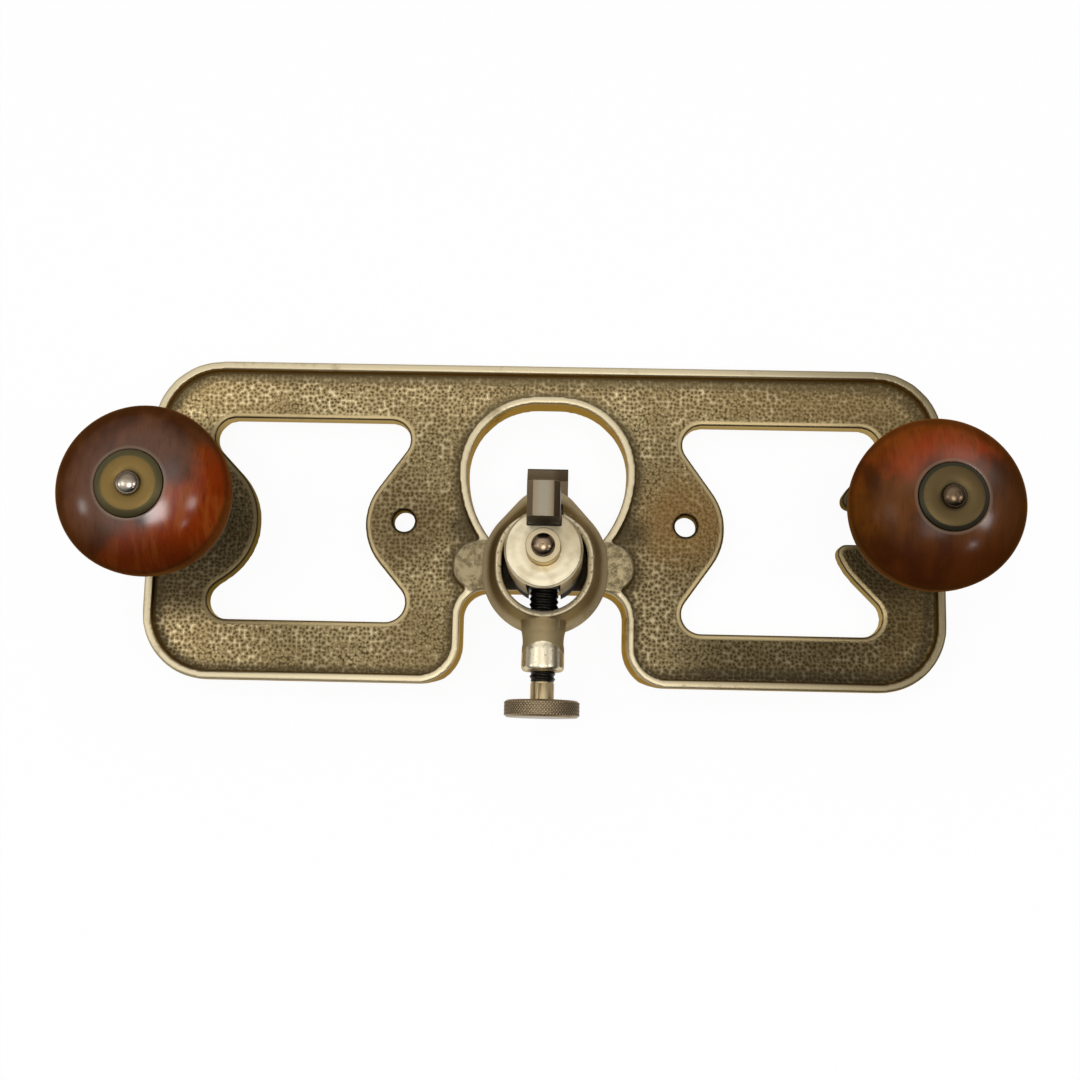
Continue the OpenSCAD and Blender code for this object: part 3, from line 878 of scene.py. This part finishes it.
def black_steel():
    """The pressure shoe: steel painted near black as the shade it sits in, dulled in patches and finely
    scratched.
    """
    finish, tree, place, shader = new_finish("black_steel", Metallic=1.0)
    tarnish = use(tree, TARNISH, Place=place, Clouds=240.0, Specks=1800.0, Amount=0.5)["Mask"]
    scratches = use(tree, SCRATCHES, Place=place, Density=2600.0)
    colour = mixed(tree, tarnish, (0.05, 0.045, 0.038), (0.02, 0.018, 0.014))
    roughness = plus(tree, 0.4, times(tree, tarnish, 0.15), times(tree, scratches["Mask"], 0.08))
    finish_with(tree, shader, colour, roughness, height=scratches["Height"], depth=0.02)
    return finish


def screw_metal():
    """The thumbscrew: a thread painted near black as shade inside the collar, a brassy neck made lighter
    as a painted highlight, and a head with a brown patina.
    """
    finish, tree, place, shader = new_finish("screw_metal", Metallic=0.9)
    rubbed_head, neck_streak = (0.30, 0.23, 0.135), (0.17, 0.115, 0.048)
    groove_dirt = (0.050, 0.034, 0.018)
    along = times(tree, axes(tree, place)["Y"], -1.0)
    tarnish = use(tree, TARNISH, Place=place, Clouds=260.0, Specks=1500.0, Amount=0.5)["Mask"]
    rubbed = use(tree, RUBBED, Place=place, Start=0.52, Full=0.64)["Mask"]
    # Painted shade: the thread near black, as it lies in the collar's shade
    thread = mixed(tree, tarnish, (0.020, 0.018, 0.014), (0.010, 0.009, 0.007))
    # The neck: brassy wear, made lighter as a painted highlight
    neck = mixed(tree, tarnish, (0.64, 0.50, 0.28), (0.34, 0.25, 0.12))
    head = mixed(tree, tarnish, (0.33, 0.245, 0.145), (0.20, 0.143, 0.080))
    head = mixed(tree, times(tree, rubbed, 0.3), head, rubbed_head)
    groove = rise(tree, attribute(tree, "groove"), 0.35, 0.85, 0.0, 0.75)
    head = mixed(tree, groove, head, groove_dirt)
    # Dark streaks along the neck, part of its painted highlight
    streaks = noise(tree, stretched(tree, place, (1.0, 0.05, 1.0)), 0.6, 2.0)
    neck = mixed(tree, rise(tree, streaks, 0.48, 0.64, 0.0, 0.8), neck, neck_streak)
    colour = mixed(tree, rise(tree, along, STEM_END * MM, (STEM_END + 0.3) * MM), thread, neck)
    colour = mixed(tree, rise(tree, along, (HEAD_START - 0.3) * MM, HEAD_START * MM), colour, head)
    roughness = plus(tree, 0.33, times(tree, tarnish, 0.16))
    grain = noise(tree, place, 0.35, 3.0)
    finish_with(tree, shader, colour, roughness, height=grain, depth=0.04)
    return finish


def stud_steel():
    """Riveted studs: brightest on the left, with painted shade over the front of the left dome, and brown
    on the right and on the pillar.
    """
    finish, tree, place, shader = new_finish("stud_steel", Metallic=1.0)
    copper = (0.33, 0.235, 0.150)
    spot = axes(tree, place)
    tarnish = use(tree, TARNISH, Place=place, Clouds=240.0, Specks=1800.0, Amount=0.45)["Mask"]
    scratches = use(tree, SCRATCHES, Place=place, Density=2600.0)
    brown = mixed(tree, tarnish, (0.125, 0.084, 0.050), (0.060, 0.036, 0.018))
    pale = mixed(tree, tarnish, (0.48, 0.42, 0.34), (0.27, 0.21, 0.15))
    on_pillar = near_place(tree, spot, (0.0, 0.0), 0.6, 2.3)
    brown = mixed(tree, times(tree, on_pillar, 0.85), brown, copper)
    left = rise(tree, spot["X"], -20 * MM, -60 * MM)
    # Painted shade over the front of the left dome
    shaded = rise(tree, spot["Y"], (KNOB_Y - 1.1) * MM, (KNOB_Y + 0.3) * MM)
    colour = mixed(tree, times(tree, left, without(tree, times(tree, shaded, 0.8))), brown, pale)
    roughness = plus(tree, 0.26, times(tree, tarnish, 0.12), times(tree, scratches["Mask"], 0.06))
    finish_with(tree, shader, colour, roughness, height=scratches["Height"], depth=0.02)
    return finish


def cutter_steel():
    """The cutter: grey where the top of the shank is worn, brown elsewhere, with painted shade on its
    right side and its rear face near black and matt as painted shade, and a dark line along the cutting
    edge.
    """
    finish, tree, place, shader = new_finish("cutter_steel", Specular_IOR_Level=0.1)
    right_brown, rear_black = (0.080, 0.052, 0.026), (0.045, 0.032, 0.017)
    spot = axes(tree, place)
    toward = facing(tree)
    worn = times(
        tree, rise(tree, spot["Z"], 45.5 * MM, 47.0 * MM), rise(tree, toward["Z"], 0.8, 0.98),
        rise(tree, maths(tree, "ABSOLUTE", spot["X"]), 2.5 * MM, 0.5 * MM),
    )
    edge = times(tree, rise(tree, spot["Y"], 24.75 * MM, 24.95 * MM), 0.8)
    # Painted shade on the right side
    right = rise(tree, spot["X"], 0.5 * MM, 3.2 * MM)
    # Painted shade: the rear face near black, rougher and less metallic
    rear = times(tree, rise(tree, toward["Y"], -0.2, -0.6), rise(tree, spot["Z"], 12 * MM, 20 * MM))
    tarnish = use(tree, TARNISH, Place=place, Clouds=160.0, Specks=1400.0, Amount=0.45)["Mask"]
    scratches = use(tree, SCRATCHES, Place=place, Density=2200.0)
    brown = mixed(tree, tarnish, (0.235, 0.180, 0.108), (0.135, 0.093, 0.047))
    brown = mixed(tree, times(tree, right, 0.7), brown, right_brown)
    grey = mixed(tree, tarnish, (0.262, 0.228, 0.168), (0.195, 0.164, 0.113))
    colour = mixed(tree, worn, brown, grey)
    colour = mixed(tree, larger(tree, edge, rear), colour, rear_black)
    roughness = plus(
        tree, 0.36, times(tree, tarnish, 0.14), times(tree, scratches["Mask"], 0.08),
        times(tree, rear, 0.25),
    )
    metallic = without(tree, times(tree, rear, 0.85))
    finish_with(tree, shader, colour, roughness, metallic, scratches["Height"], 0.03)
    return finish


def knob_wood():
    """Dark wood under an old polish: brown outside, a red glow on the sides that face each other, a pale
    ring at the lip as a painted highlight, and, by a fixed direction from above and in front, a darker
    ring as painted shade and an amber band on the sides as a painted reflection.
    """
    finish, tree, place, shader = new_finish(
        "knob_wood", Specular_IOR_Level=0.0, Coat_Roughness=0.2, Coat_IOR=1.75
    )
    dark, red, orange = (0.045, 0.014, 0.004), (0.235, 0.030, 0.003), (0.34, 0.080, 0.012)
    amber, shoulder_shade, rear_red = (0.245, 0.100, 0.021), (0.060, 0.020, 0.004), (0.045, 0.008, 0.002)
    pore_black, lip_highlight = (0.02, 0.007, 0.003), (0.16, 0.115, 0.075)
    spot = axes(tree, place)
    from_axis = attribute(tree, "from_axis")
    right = on_right(tree, spot)
    side = maths(tree, "SIGN", spot["X"])
    inward = minus(tree, KNOB_X * MM, maths(tree, "ABSOLUTE", spot["X"]))
    along = times(tree, side, plus(tree, spot["Y"], -KNOB_Y * MM))
    across_share = rise(tree, right, 0.0, 1.0, 0.7, 0.1)
    along_share = rise(tree, right, 0.0, 1.0, 0.7, 1.0)
    leaning = plus(tree, times(tree, inward, across_share), times(tree, along, along_share))
    towards = times(tree, leaning, 1 / (KNOB_R * MM))
    warm = noise(tree, stretched(tree, place, (1.0, 0.6, 0.6)), 8.0, 3.0, 0.5)
    lines = stretched(tree, place, (1.0, 0.2, 0.12), (0.0, 0.0, 0.10))
    growth = noise(tree, lines, 2.2, 3.0, 0.5)
    pores = noise(tree, stretched(tree, place, (1.0, 0.12, 0.12)), 0.35, 2.0)
    scratches = use(tree, SCRATCHES, Place=place, Density=1500.0)
    toward = facing(tree)

    brown = mixed(tree, right, (0.105, 0.036, 0.012), (0.115, 0.035, 0.005))
    colour = mixed(tree, rise(tree, warm, 0.31, 0.57, 0.12, 1.0), dark, brown)
    outer = times(tree, right, rise(tree, inward, -3 * MM, -14 * MM), 0.55)
    colour = mixed(tree, outer, colour, dark)
    glow = plus(tree, towards, times(tree, warm, 0.9), -0.45)
    near_seat = rise(tree, from_axis, 17.0, 12.0, 0.25, 0.92)
    near_seat = plus(tree, without(tree, right), times(tree, right, near_seat))
    colour = mixed(tree, times(tree, rise(tree, glow, 0.14, 0.48, 0.0, 0.92), near_seat), colour, red)
    ember = times(
        tree, rise(tree, glow, 0.20, 0.5), rise(tree, growth, 0.42, 0.60),
        rise(tree, right, 0.0, 1.0, 0.8, 0.25),
    )
    colour = mixed(tree, ember, colour, orange)
    colour = mixed(tree, times(tree, rise(tree, growth, 0.48, 0.70), 0.28), colour, dark)
    colour = mixed(tree, times(tree, rise(tree, pores, 0.58, 0.70), 0.35), colour, pore_black)
    low = plus(tree, spot["Y"], times(tree, right, -3 * MM), -KNOB_Y * MM)
    colour = mixed(tree, times(tree, rise(tree, low, -8 * MM, -16 * MM), 0.65), colour, rear_red)
    # Painted highlight: a pale ring on the lip round the washer
    lip = times(tree, rise(tree, from_axis, 8.3, 7.85), 0.5)
    colour = mixed(tree, lip, colour, lip_highlight)
    # Painted shade and reflection, measured against a fixed direction from above and in front: a darker
    # ring where the sides begin to turn away, and an amber band further round
    to_middle = times(tree, toward["X"], side, -0.26)
    to_rear_and_up = plus(tree, times(tree, toward["Y"], -0.17), times(tree, toward["Z"], 0.95))
    brink = without(tree, plus(tree, to_middle, to_rear_and_up))
    colour = mixed(tree, rise(tree, brink, 0.34, 0.52, 0.0, 0.5), colour, shoulder_shade)
    painted_edge_reflection = times(
        tree, rise(tree, brink, 0.58, 0.92, 0.0, 0.72), rise(tree, spot["Z"], 14 * MM, 43 * MM),
        rise(tree, warm, 0.30, 0.60, 0.55, 1.0),
    )
    colour = mixed(tree, painted_edge_reflection, colour, amber)

    worn_right = times(tree, rise(tree, spot["X"], 0.0, 20 * MM), rise(tree, spot["X"], 92 * MM, 80 * MM))
    polish = without(tree, times(tree, worn_right, 0.75))
    by_seat = times(tree, rise(tree, from_axis, 13.0, 8.5), rise(tree, towards, -0.05, 0.28))
    lacquer = times(
        tree, plus(tree, 0.38, times(tree, by_seat, 0.62)), rise(tree, toward["Z"], 0.72, 0.84),
        rise(tree, brink, 0.25, 0.45, 1.0, 0.0),
    )
    below = rise(tree, spot["Z"], 38 * MM, 32 * MM, 0.0, 0.45)
    feed(tree, shader.inputs["Coat Weight"], larger(tree, times(tree, polish, lacquer), below))
    roughness = plus(tree, 0.36, times(tree, growth, 0.10), times(tree, scratches["Mask"], 0.1))
    height = plus(tree, times(tree, pores, -0.35), times(tree, scratches["Height"], 0.25))
    finish_with(tree, shader, colour, roughness, height=height, depth=0.05)
    return finish


def old_brass():
    """Tarnished brass washers, green-black on their bevel, and duller on the right."""
    finish, tree, place, shader = new_finish("old_brass", Metallic=0.85)
    right = on_right(tree, axes(tree, place))
    tarnish = use(tree, TARNISH, Place=place, Clouds=200.0, Specks=1200.0, Amount=0.4)["Mask"]
    scratches = use(tree, SCRATCHES, Place=place, Density=2200.0)
    patches = times(tree, tarnish, 0.6)
    pale = mixed(tree, patches, (0.172, 0.108, 0.031), (0.130, 0.080, 0.023))
    dull = mixed(tree, patches, (0.094, 0.062, 0.022), (0.070, 0.046, 0.017))
    flat = mixed(tree, right, pale, dull)
    bevel = mixed(tree, right, (0.105, 0.086, 0.036), (0.046, 0.041, 0.022))
    colour = mixed(tree, rise(tree, upward(tree), 0.985, 0.88), flat, bevel)
    roughness = plus(tree, 0.46, times(tree, tarnish, 0.12), times(tree, scratches["Mask"], 0.06))
    finish_with(tree, shader, colour, roughness, height=scratches["Height"], depth=0.03)
    return finish


# Pieces

def lean_throat(mesh, to_ridge):
    """Leans the throat's walls outwards, and draws the sole's rear edge in under the rim."""
    points = points_of(mesh)
    x, y, z = (points / MM).T
    near = np.clip(1 - to_ridge / THROAT_REACH, 0, 1)
    near *= np.clip(THROAT_FRONT - y, 0, 1)
    near *= np.clip((THROAT_SIDE + THROAT_FADE - np.abs(x)) / THROAT_FADE, 0, 1)
    lean = np.where(x < 0, -THROAT_LEAN[0], THROAT_LEAN[1])
    points[:, 0] += lean * near * np.clip(z / RIM_TOP, 0, 1) * MM
    rear = np.clip((REAR_EDGE + REAR_FADE - y) / REAR_FADE, 0, 1)
    points[:, 1] += REAR_DRAW * rear * np.clip(1 - z / RIM_TOP, 0, 1) * MM
    mesh.vertices.foreach_set("co", points.ravel())
    mesh.update()


def casting_piece():
    """The casting, its skin made even and rounded as a casting's is, with filled roots at the rims."""
    form = node_form("frame_casting")
    roots = edge_tree(form, PLATE_TOP, convex=False)
    borders = edge_tree(form, PLATE_TOP, convex=True)
    ridges = edge_tree(form, RIM_TOP, convex=True, to_sole=True)
    holder = link_object("casting_source", mesh_of("casting_source", form))
    voxel_modifier(holder, CASTING_VOXEL)
    mesh = evaluated(holder)
    points = points_of(mesh)
    to_root = distances(roots, points)
    soften(mesh, CASTING_ROUNDS)
    soften(mesh, ROOT_ROUNDS, np.clip(2.0 * (1 - to_root / ROOT_REACH), 0, 1))
    soften(mesh, RIDGE_ROUNDS, np.clip(2.0 * (1 - distances(ridges, points) / RIDGE_REACH), 0, 1))
    lean_throat(mesh, distances(ridges, points))
    store(mesh, "root", np.clip(1 - to_root / ROOT_SHADE_REACH, 0, 1))
    store(mesh, "border", np.clip(1 - distances(borders, points) / BORDER_REACH, 0, 1))
    below_border = np.column_stack([points[:, :2], np.full(len(points), PLATE_TOP * MM)])
    store(mesh, "cut", (distances(borders, below_border) < CUT_REACH).astype(float))
    dress("casting_worn", "frame_casting", mesh, stippled_casting())


def arc(centre_y, r, start, end, steps):
    """Points on an arc about a centre on the Y axis, by angle from X in degrees."""
    angles = [math.radians(start + (end - start) * i / steps) for i in range(steps + 1)]
    return [(r * math.cos(a), centre_y + r * math.sin(a)) for a in angles]


def whole_outline(right):
    """An outline from its right half, which starts and ends on the Y axis."""
    return right + [(-x, y) for x, y in reversed(right[1:-1])]


def pear_outline(share):
    """The collar's outside between its band, a pear, and its crest, a ring round the bore."""
    band = whole_outline(
        arc(-COLLAR_BACK, COLLAR_R, -90, 0, 24)
        + arc(0.0, COLLAR_R, 0, NOSE_ANGLE, 12)
        + arc(NOSE_Y, NOSE_R, NOSE_ANGLE, 90, 16)
    )
    points = []
    for x, y in band:
        middle = min(max(y, -COLLAR_BACK), 0.0)
        out = CREST_R / math.hypot(x, y - middle)
        crest = (x * out, middle + (y - middle) * out)
        points.append((x + (crest[0] - x) * share, y + (crest[1] - y) * share))
    return points


def bore_outline(grow):
    """The collar's bore, moved outwards: round, and drawn out to the rear."""
    return whole_outline(
        arc(-COLLAR_BACK, BORE_R + grow, -90, 0, 24) + arc(0.0, BORE_R + grow, 0, 90, 24)
    )


def stacked(name, outline, skin):
    """A solid of one outline, with its distance and height at each level of the collar."""
    return ring_mesh(
        name, [[(x, y, COLLAR_Z + height) for x, y in outline(moved)] for moved, height in skin]
    )


def notch_mesh(name):
    """The notch for the shank, cut through the collar's nose from the bore."""
    corners = [(-NOTCH_HALF, 0.0), (NOTCH_HALF, 0.0), (NOTCH_HALF, NOTCH_END), (-NOTCH_HALF, NOTCH_END)]
    levels = (COLLAR_Z - 1, COLLAR_Z + COLLAR_H + 1)
    return ring_mesh(name, [[(x, y, level) for x, y in corners] for level in levels])


def boss_mesh(name, section):
    """A turned form on the thumbscrew's axis: section is distance to the rear, and radius."""
    turns = [2 * math.pi * i / BOSS_SEGMENTS for i in range(BOSS_SEGMENTS)]
    return ring_mesh(
        name,
        [[(r * math.cos(a), -s, SCREW_Z + r * math.sin(a)) for a in turns] for s, r in section],
    )


def from_bore_axis(points):
    """Distance in millimetres from the bore's axis, which is drawn out to the rear."""
    x, y = (points[:, :2] / MM).T
    return np.hypot(x, y - np.clip(y, -COLLAR_BACK, 0))


def inside_collar(points):
    """One for the points on the walls of the bore and the notch, below the bevel."""
    x, y, z = (points / MM).T
    on_bore = from_bore_axis(points) < BORE_R + BORE_SLACK
    on_notch = (np.abs(x) < NOTCH_HALF + NOTCH_SLACK) & (y > 0) & (y < NOTCH_END + NOTCH_SLACK)
    return ((on_bore | on_notch) & (z < COLLAR_Z + BEVEL_FROM)).astype(float)


def on_crest(points):
    """One on the flat ring at the top of the collar, falling to nothing on the slope outside it."""
    high = points[:, 2] / MM > COLLAR_Z + CREST_FROM
    return high * np.clip((CREST_R - 0.05 - from_bore_axis(points)) / CREST_FADE, 0, 1)


def collar_piece():
    """The clamp's collar: pear-shaped ring and boss in one skin, bored and notched."""
    holder = link_object("collar_source", stacked("collar_source", pear_outline, COLLAR_SKIN))
    screw_run = [(s, BOSS_BORE_R) for s in (BORE_R, BOSS_SECTION[-1][0] + 2)]
    tools = [
        ("UNION", boss_mesh("collar_boss", BOSS_SECTION)),
        ("DIFFERENCE", stacked("collar_bore", bore_outline, BORE_SKIN)),
        ("DIFFERENCE", notch_mesh("collar_notch")),
        ("DIFFERENCE", boss_mesh("collar_screw_run", screw_run)),
    ]
    helpers = []
    for operation, tool in tools:
        change = holder.modifiers.new(operation, "BOOLEAN")
        change.operation = operation
        change.solver = "EXACT"
        change.object = link_object(tool.name, tool)
        helpers.append(change.object)
    voxel_modifier(holder, COLLAR_VOXEL)
    mesh = evaluated(holder)
    for helper in helpers:
        bpy.data.objects.remove(helper)
    soften(mesh, COLLAR_ROUNDS)
    store(mesh, "bore", inside_collar(points_of(mesh)))
    store(mesh, "crest", on_crest(points_of(mesh)))
    dress("collar_worn", "collar", mesh, cast_nickel())


def saw(value):
    """A triangle wave from 0 to 1 and back as the value goes up by one."""
    return abs(2 * (value % 1.0) - 1)


def screw_radius(s, turn):
    """Radius of the thumbscrew at a distance to the rear and a share of a turn."""
    if s <= STEM_START:
        return TIP_R
    if s <= STEM_END:
        ends = min(1.0, (s - STEM_START) / 0.6, (STEM_END - s) / 0.4)
        cut = min(1.0, 1.25 * saw(s / THREAD_PITCH + turn))
        relief = THREAD_RELIEF if s > BOSS_SECTION[-1][0] - 0.4 else 0.0
        return THREAD_R - relief - THREAD_DEPTH * (cut if ends >= 1 else 1 - ends * (1 - cut))
    if s <= HEAD_START:
        return NECK_R
    edge = min(s - HEAD_START, HEAD_END - s)
    if edge < HEAD_BEVEL:
        return HEAD_R - KNURL_DEPTH - HEAD_BEVEL + edge
    rows = s / KNURL_PITCH
    cut = max(saw(KNURL_COUNT * turn + rows), saw(KNURL_COUNT * turn - rows))
    return HEAD_R - KNURL_DEPTH * cut * min(1.0, (edge - HEAD_BEVEL) / 0.2)


def steps_between(start, end, step):
    count = max(1, round((end - start) / step))
    return [start + (end - start) * i / count for i in range(count + 1)]


def thumbscrew_piece():
    """The thumbscrew in one skin: tip, cut thread, neck, and a head with a diamond knurl."""
    skin = 0.01
    rows = [(TIP_START, TIP_R - 0.2), (TIP_START + 0.2, TIP_R), (STEM_START, TIP_R)]
    rows += [(s, None) for s in steps_between(STEM_START + skin, STEM_END, THREAD_PITCH / 8)]
    rows += [(STEM_END + skin, NECK_R - 0.15), (STEM_END + 0.4, NECK_R - 0.15)]
    rows += [(STEM_END + 0.5, NECK_R), (HEAD_START - 0.35, NECK_R)]
    rows += [(HEAD_START - 0.1, NECK_R + 0.15), (HEAD_START, NECK_R + 0.4)]
    rows += [(s, None) for s in steps_between(HEAD_START + skin, HEAD_END - skin, 0.17)]
    rows += [(HEAD_END, HEAD_R - 1.6)]
    turns = [i / SCREW_SEGMENTS for i in range(SCREW_SEGMENTS)]
    rings = []
    for s, fixed in rows:
        radii = [fixed or screw_radius(s, turn) for turn in turns]
        rings.append([
            (r * math.cos(2 * math.pi * t), -s, SCREW_Z + r * math.sin(2 * math.pi * t))
            for r, t in zip(radii, turns)
        ])
    mesh = ring_mesh("thumbscrew_knurled", rings)
    x, y, z = (points_of(mesh) / MM).T
    on_knurl = (-y > HEAD_START + HEAD_BEVEL) & (-y < HEAD_END - HEAD_BEVEL)
    store(mesh, "groove", on_knurl * np.clip((HEAD_R - np.hypot(x, z - SCREW_Z)) / KNURL_DEPTH, 0, 1))
    dress("thumbscrew_knurled", "thumbscrew", mesh, screw_metal())


def knob_section():
    """Closed half section of a knob, from the bore at its foot out over the belly to the seat."""
    under_end = math.acos(KNOB_NECK_R / KNOB_R)
    neck_z = KNOB_BELLY_Z - KNOB_UNDER * math.sin(under_end)
    lip_r = KNOB_SEAT_R + KNOB_LIP
    crown_end = math.acos(lip_r / KNOB_R)
    foot = [
        (HOLE_R, KNOB_BOTTOM), (KNOB_FOOT_R - 0.4, KNOB_BOTTOM), (KNOB_FOOT_R - 0.08, KNOB_BOTTOM + 0.25),
        (KNOB_FOOT_R, KNOB_BOTTOM + 0.7), (KNOB_FOOT_R - 0.1, KNOB_FOOT_TOP - 0.25),
        (KNOB_FOOT_R - 0.4, KNOB_FOOT_TOP),
    ]
    neck = [
        (
            KNOB_NECK_R + (KNOB_FOOT_R - 0.6 - KNOB_NECK_R) * (1 - t) ** 2,
            KNOB_FOOT_TOP + 0.1 + (neck_z - KNOB_FOOT_TOP - 0.1) * t,
        )
        for t in (i / 8 for i in range(8))
    ]
    under = [
        (KNOB_R * math.cos(a), KNOB_BELLY_Z + KNOB_UNDER * math.sin(a))
        for a in (under_end * (i / 30 - 1) for i in range(30))
    ]
    crown = [
        (KNOB_R * math.cos(a), KNOB_BELLY_Z + KNOB_CROWN * math.sin(a))
        for a in (crown_end * i / 24 for i in range(25))
    ]
    top = crown[-1][1]
    seat = [
        (lip_r - 0.22, top + 0.06), (lip_r - 0.38, top - 0.05), (KNOB_SEAT_R, top - 0.3),
        (KNOB_SEAT_R, KNOB_SEAT_Z), (HOLE_R, KNOB_SEAT_Z),
    ]
    return foot + neck + under + crown + seat


def washer_section(bevel):
    """Closed half section of a washer with a bevelled edge."""
    top = KNOB_SEAT_Z + WASHER_T
    return [
        (HOLE_R, KNOB_SEAT_Z), (WASHER_R - 0.1, KNOB_SEAT_Z), (WASHER_R, KNOB_SEAT_Z + 0.1),
        (WASHER_R, top - 0.62), (WASHER_R - 0.08, top - 0.5),
        (WASHER_R - bevel + 0.12, top - 0.07), (WASHER_R - bevel, top),
        (HOLE_R + 0.15, top), (HOLE_R, top - 0.15),
    ]


def stud_section(seat):
    """Half section of a riveted stud: a flush head in the sole, a shank, and a rounded top."""
    dome = [
        (DOME_R * math.cos(a), seat + DOME_H * math.sin(a))
        for a in (math.pi / 2 * i / 12 for i in range(12))
    ]
    return [
        (STUD_MIDDLE_R, 0.0), (STUD_HEAD_R - 0.2, 0.0), (STUD_HEAD_R, 0.1), (STUD_R, STUD_HEAD_H),
        (STUD_R, seat), *dome, (STUD_MIDDLE_R, seat + DOME_H),
    ]


def lean_top(mesh, lean):
    """Leans the top of a knob and what sits in it, from the belly up."""
    points = points_of(mesh)
    share = np.clip((points[:, 2] / MM - KNOB_BELLY_Z) / (KNOB_SEAT_Z - KNOB_BELLY_Z), 0, 1)
    points[:, :2] += share[:, None] * np.array(lean) * MM
    mesh.vertices.foreach_set("co", points.ravel())
    mesh.update()


def knob_pieces():
    """Both knobs, with their washers and studs."""
    wood, brass, steel = knob_wood(), old_brass(), stud_steel()
    seat = KNOB_SEAT_Z + WASHER_T
    for side in ("left", "right"):
        low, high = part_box(f"{side}_knob")
        centre = ((low + high) / 2 / MM)[:2]
        knob = turned(f"{side}_knob_turned", knob_section(), centre)
        from_axis = points_of(knob)[:, :2] / MM - np.array(centre)
        store(knob, "from_axis", np.hypot(from_axis[:, 0], from_axis[:, 1]))
        washer = turned(f"{side}_washer_bevelled", washer_section(WASHER_BEVEL[side]), centre)
        stud = turned(f"{side}_stud_riveted", stud_section(seat), centre, STUD_SEGMENTS)
        for mesh in (knob, washer, stud):
            lean_top(mesh, KNOB_LEAN[side])
        dress(f"{side}_knob_turned", f"{side}_knob", knob, wood)
        dress(f"{side}_washer_bevelled", f"{side}_knob_washer", washer, brass)
        dress(f"{side}_stud_riveted", f"{side}_knob_stud", stud, steel)
    pillar_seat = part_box("pillar_stud")[1].z / MM - DOME_H
    stud = turned("pillar_stud_riveted", stud_section(pillar_seat), (0.0, 0.0), STUD_SEGMENTS)
    dress("pillar_stud_riveted", "pillar_stud", stud, steel)


def clamp_pieces():
    """Pillar, cutter and pressure shoe, with their edges eased."""
    eased_copy("pillar_turned", "pillar", 0.22, turned_nickel())
    eased_copy("cutter_ground", "cutter", 0.4, cutter_steel())
    eased_copy("shoe_painted_dark", "pressure_shoe", 0.25, black_steel())


casting_piece()
collar_piece()
thumbscrew_piece()
knob_pieces()
clamp_pieces()


# Stage

FLOOR_SIZE = 6.0
FLOOR_DROP = 0.0003
FLOOR_GREY = 0.82
FLOOR_GLOW = 0.93
WHITE = (1.0, 1.0, 1.0)
# Soft boxes: place in metres, width, and power in watts
LAMPS = (
    ((0.03, -0.19, 0.80), 0.26, 1.4),
    ((0.92, -0.14, 1.04), 0.24, 1.9),
    ((-0.43, -0.04, 0.62), 0.20, 0.31),
    ((-0.65, -0.07, 0.37), 0.10, 0.25),
    ((0.60, -0.48, 0.75), 0.08, 0.25),
)
SKY_LOW = 0.16
SKY_HIGH = 0.80
ZENITH_GLOW = 0.20
# Share by which the sky is brighter for a full step to the left and to the front
SKY_LEFT = 0.7
SKY_FRONT = 1.1


def seen_ray(tree):
    """One for rays from the camera, and for those that gloss and glass send on."""
    path = add(tree, "LightPath").outputs
    seen = larger(tree, path["Is Camera Ray"], path["Is Glossy Ray"])
    return larger(tree, seen, path["Is Transmission Ray"])


def make_floor():
    """A pale floor that is nearly white and keeps the object's shadow."""
    half = FLOOR_SIZE / 2
    corners = [(-half, -half), (half, -half), (half, half), (-half, half)]
    mesh = bpy.data.meshes.new("pale_floor")
    mesh.from_pydata([(x, y, -FLOOR_DROP) for x, y in corners], [], [(0, 1, 2, 3)])
    finish = bpy.data.materials.new("pale_floor")
    finish.use_nodes = True
    tree = finish.node_tree
    tree.nodes.clear()
    seen = seen_ray(tree)
    matt = add(tree, "BsdfDiffuse", Color=mixed(tree, seen, (FLOOR_GREY,) * 3, WHITE))
    glow = add(tree, "Emission", Color=WHITE, Strength=1.0)
    both = add(tree, "MixShader", Fac=times(tree, seen, FLOOR_GLOW))
    tree.links.new(matt.outputs[0], both.inputs[1])
    tree.links.new(glow.outputs[0], both.inputs[2])
    output = tree.nodes.new("ShaderNodeOutputMaterial")
    tree.links.new(both.outputs[0], output.inputs["Surface"])
    mesh.materials.append(finish)
    link_object("pale_floor", mesh)


def make_lamps():
    """Soft boxes: one nearly overhead, one to each side, and a small one further out on each side."""
    for i, (place, width, power) in enumerate(LAMPS):
        light = bpy.data.lights.new(f"soft_box_{i}", "AREA")
        light.size = width
        light.energy = power
        lamp = link_object(f"soft_box_{i}", light)
        lamp.location = place
        lamp.rotation_euler = (-Vector(place)).to_track_quat("-Z", "Y").to_euler()


def make_sky():
    """Soft light from above that falls off towards the horizon; the camera sees white."""
    world = bpy.data.worlds.new("soft_sky")
    world.use_nodes = True
    bpy.context.scene.world = world
    tree = world.node_tree
    tree.nodes.clear()
    towards = axes(tree, add(tree, "TexCoord").outputs["Generated"])
    level = plus(
        tree, rise(tree, towards["Z"], 0.2, 0.9, SKY_LOW, SKY_HIGH),
        rise(tree, towards["Z"], 0.92, 0.995, 0.0, ZENITH_GLOW),
    )
    tilt = plus(tree, 1.0, times(tree, towards["X"], -SKY_LEFT), times(tree, towards["Y"], SKY_FRONT))
    level = times(tree, level, tilt)
    from_camera = add(tree, "LightPath").outputs["Is Camera Ray"]
    sky = add(tree, "Background", Color=WHITE)
    feed(tree, sky.inputs["Strength"], larger(tree, level, from_camera))
    output = tree.nodes.new("ShaderNodeOutputWorld")
    tree.links.new(sky.outputs[0], output.inputs["Surface"])


make_floor()
make_lamps()
make_sky()
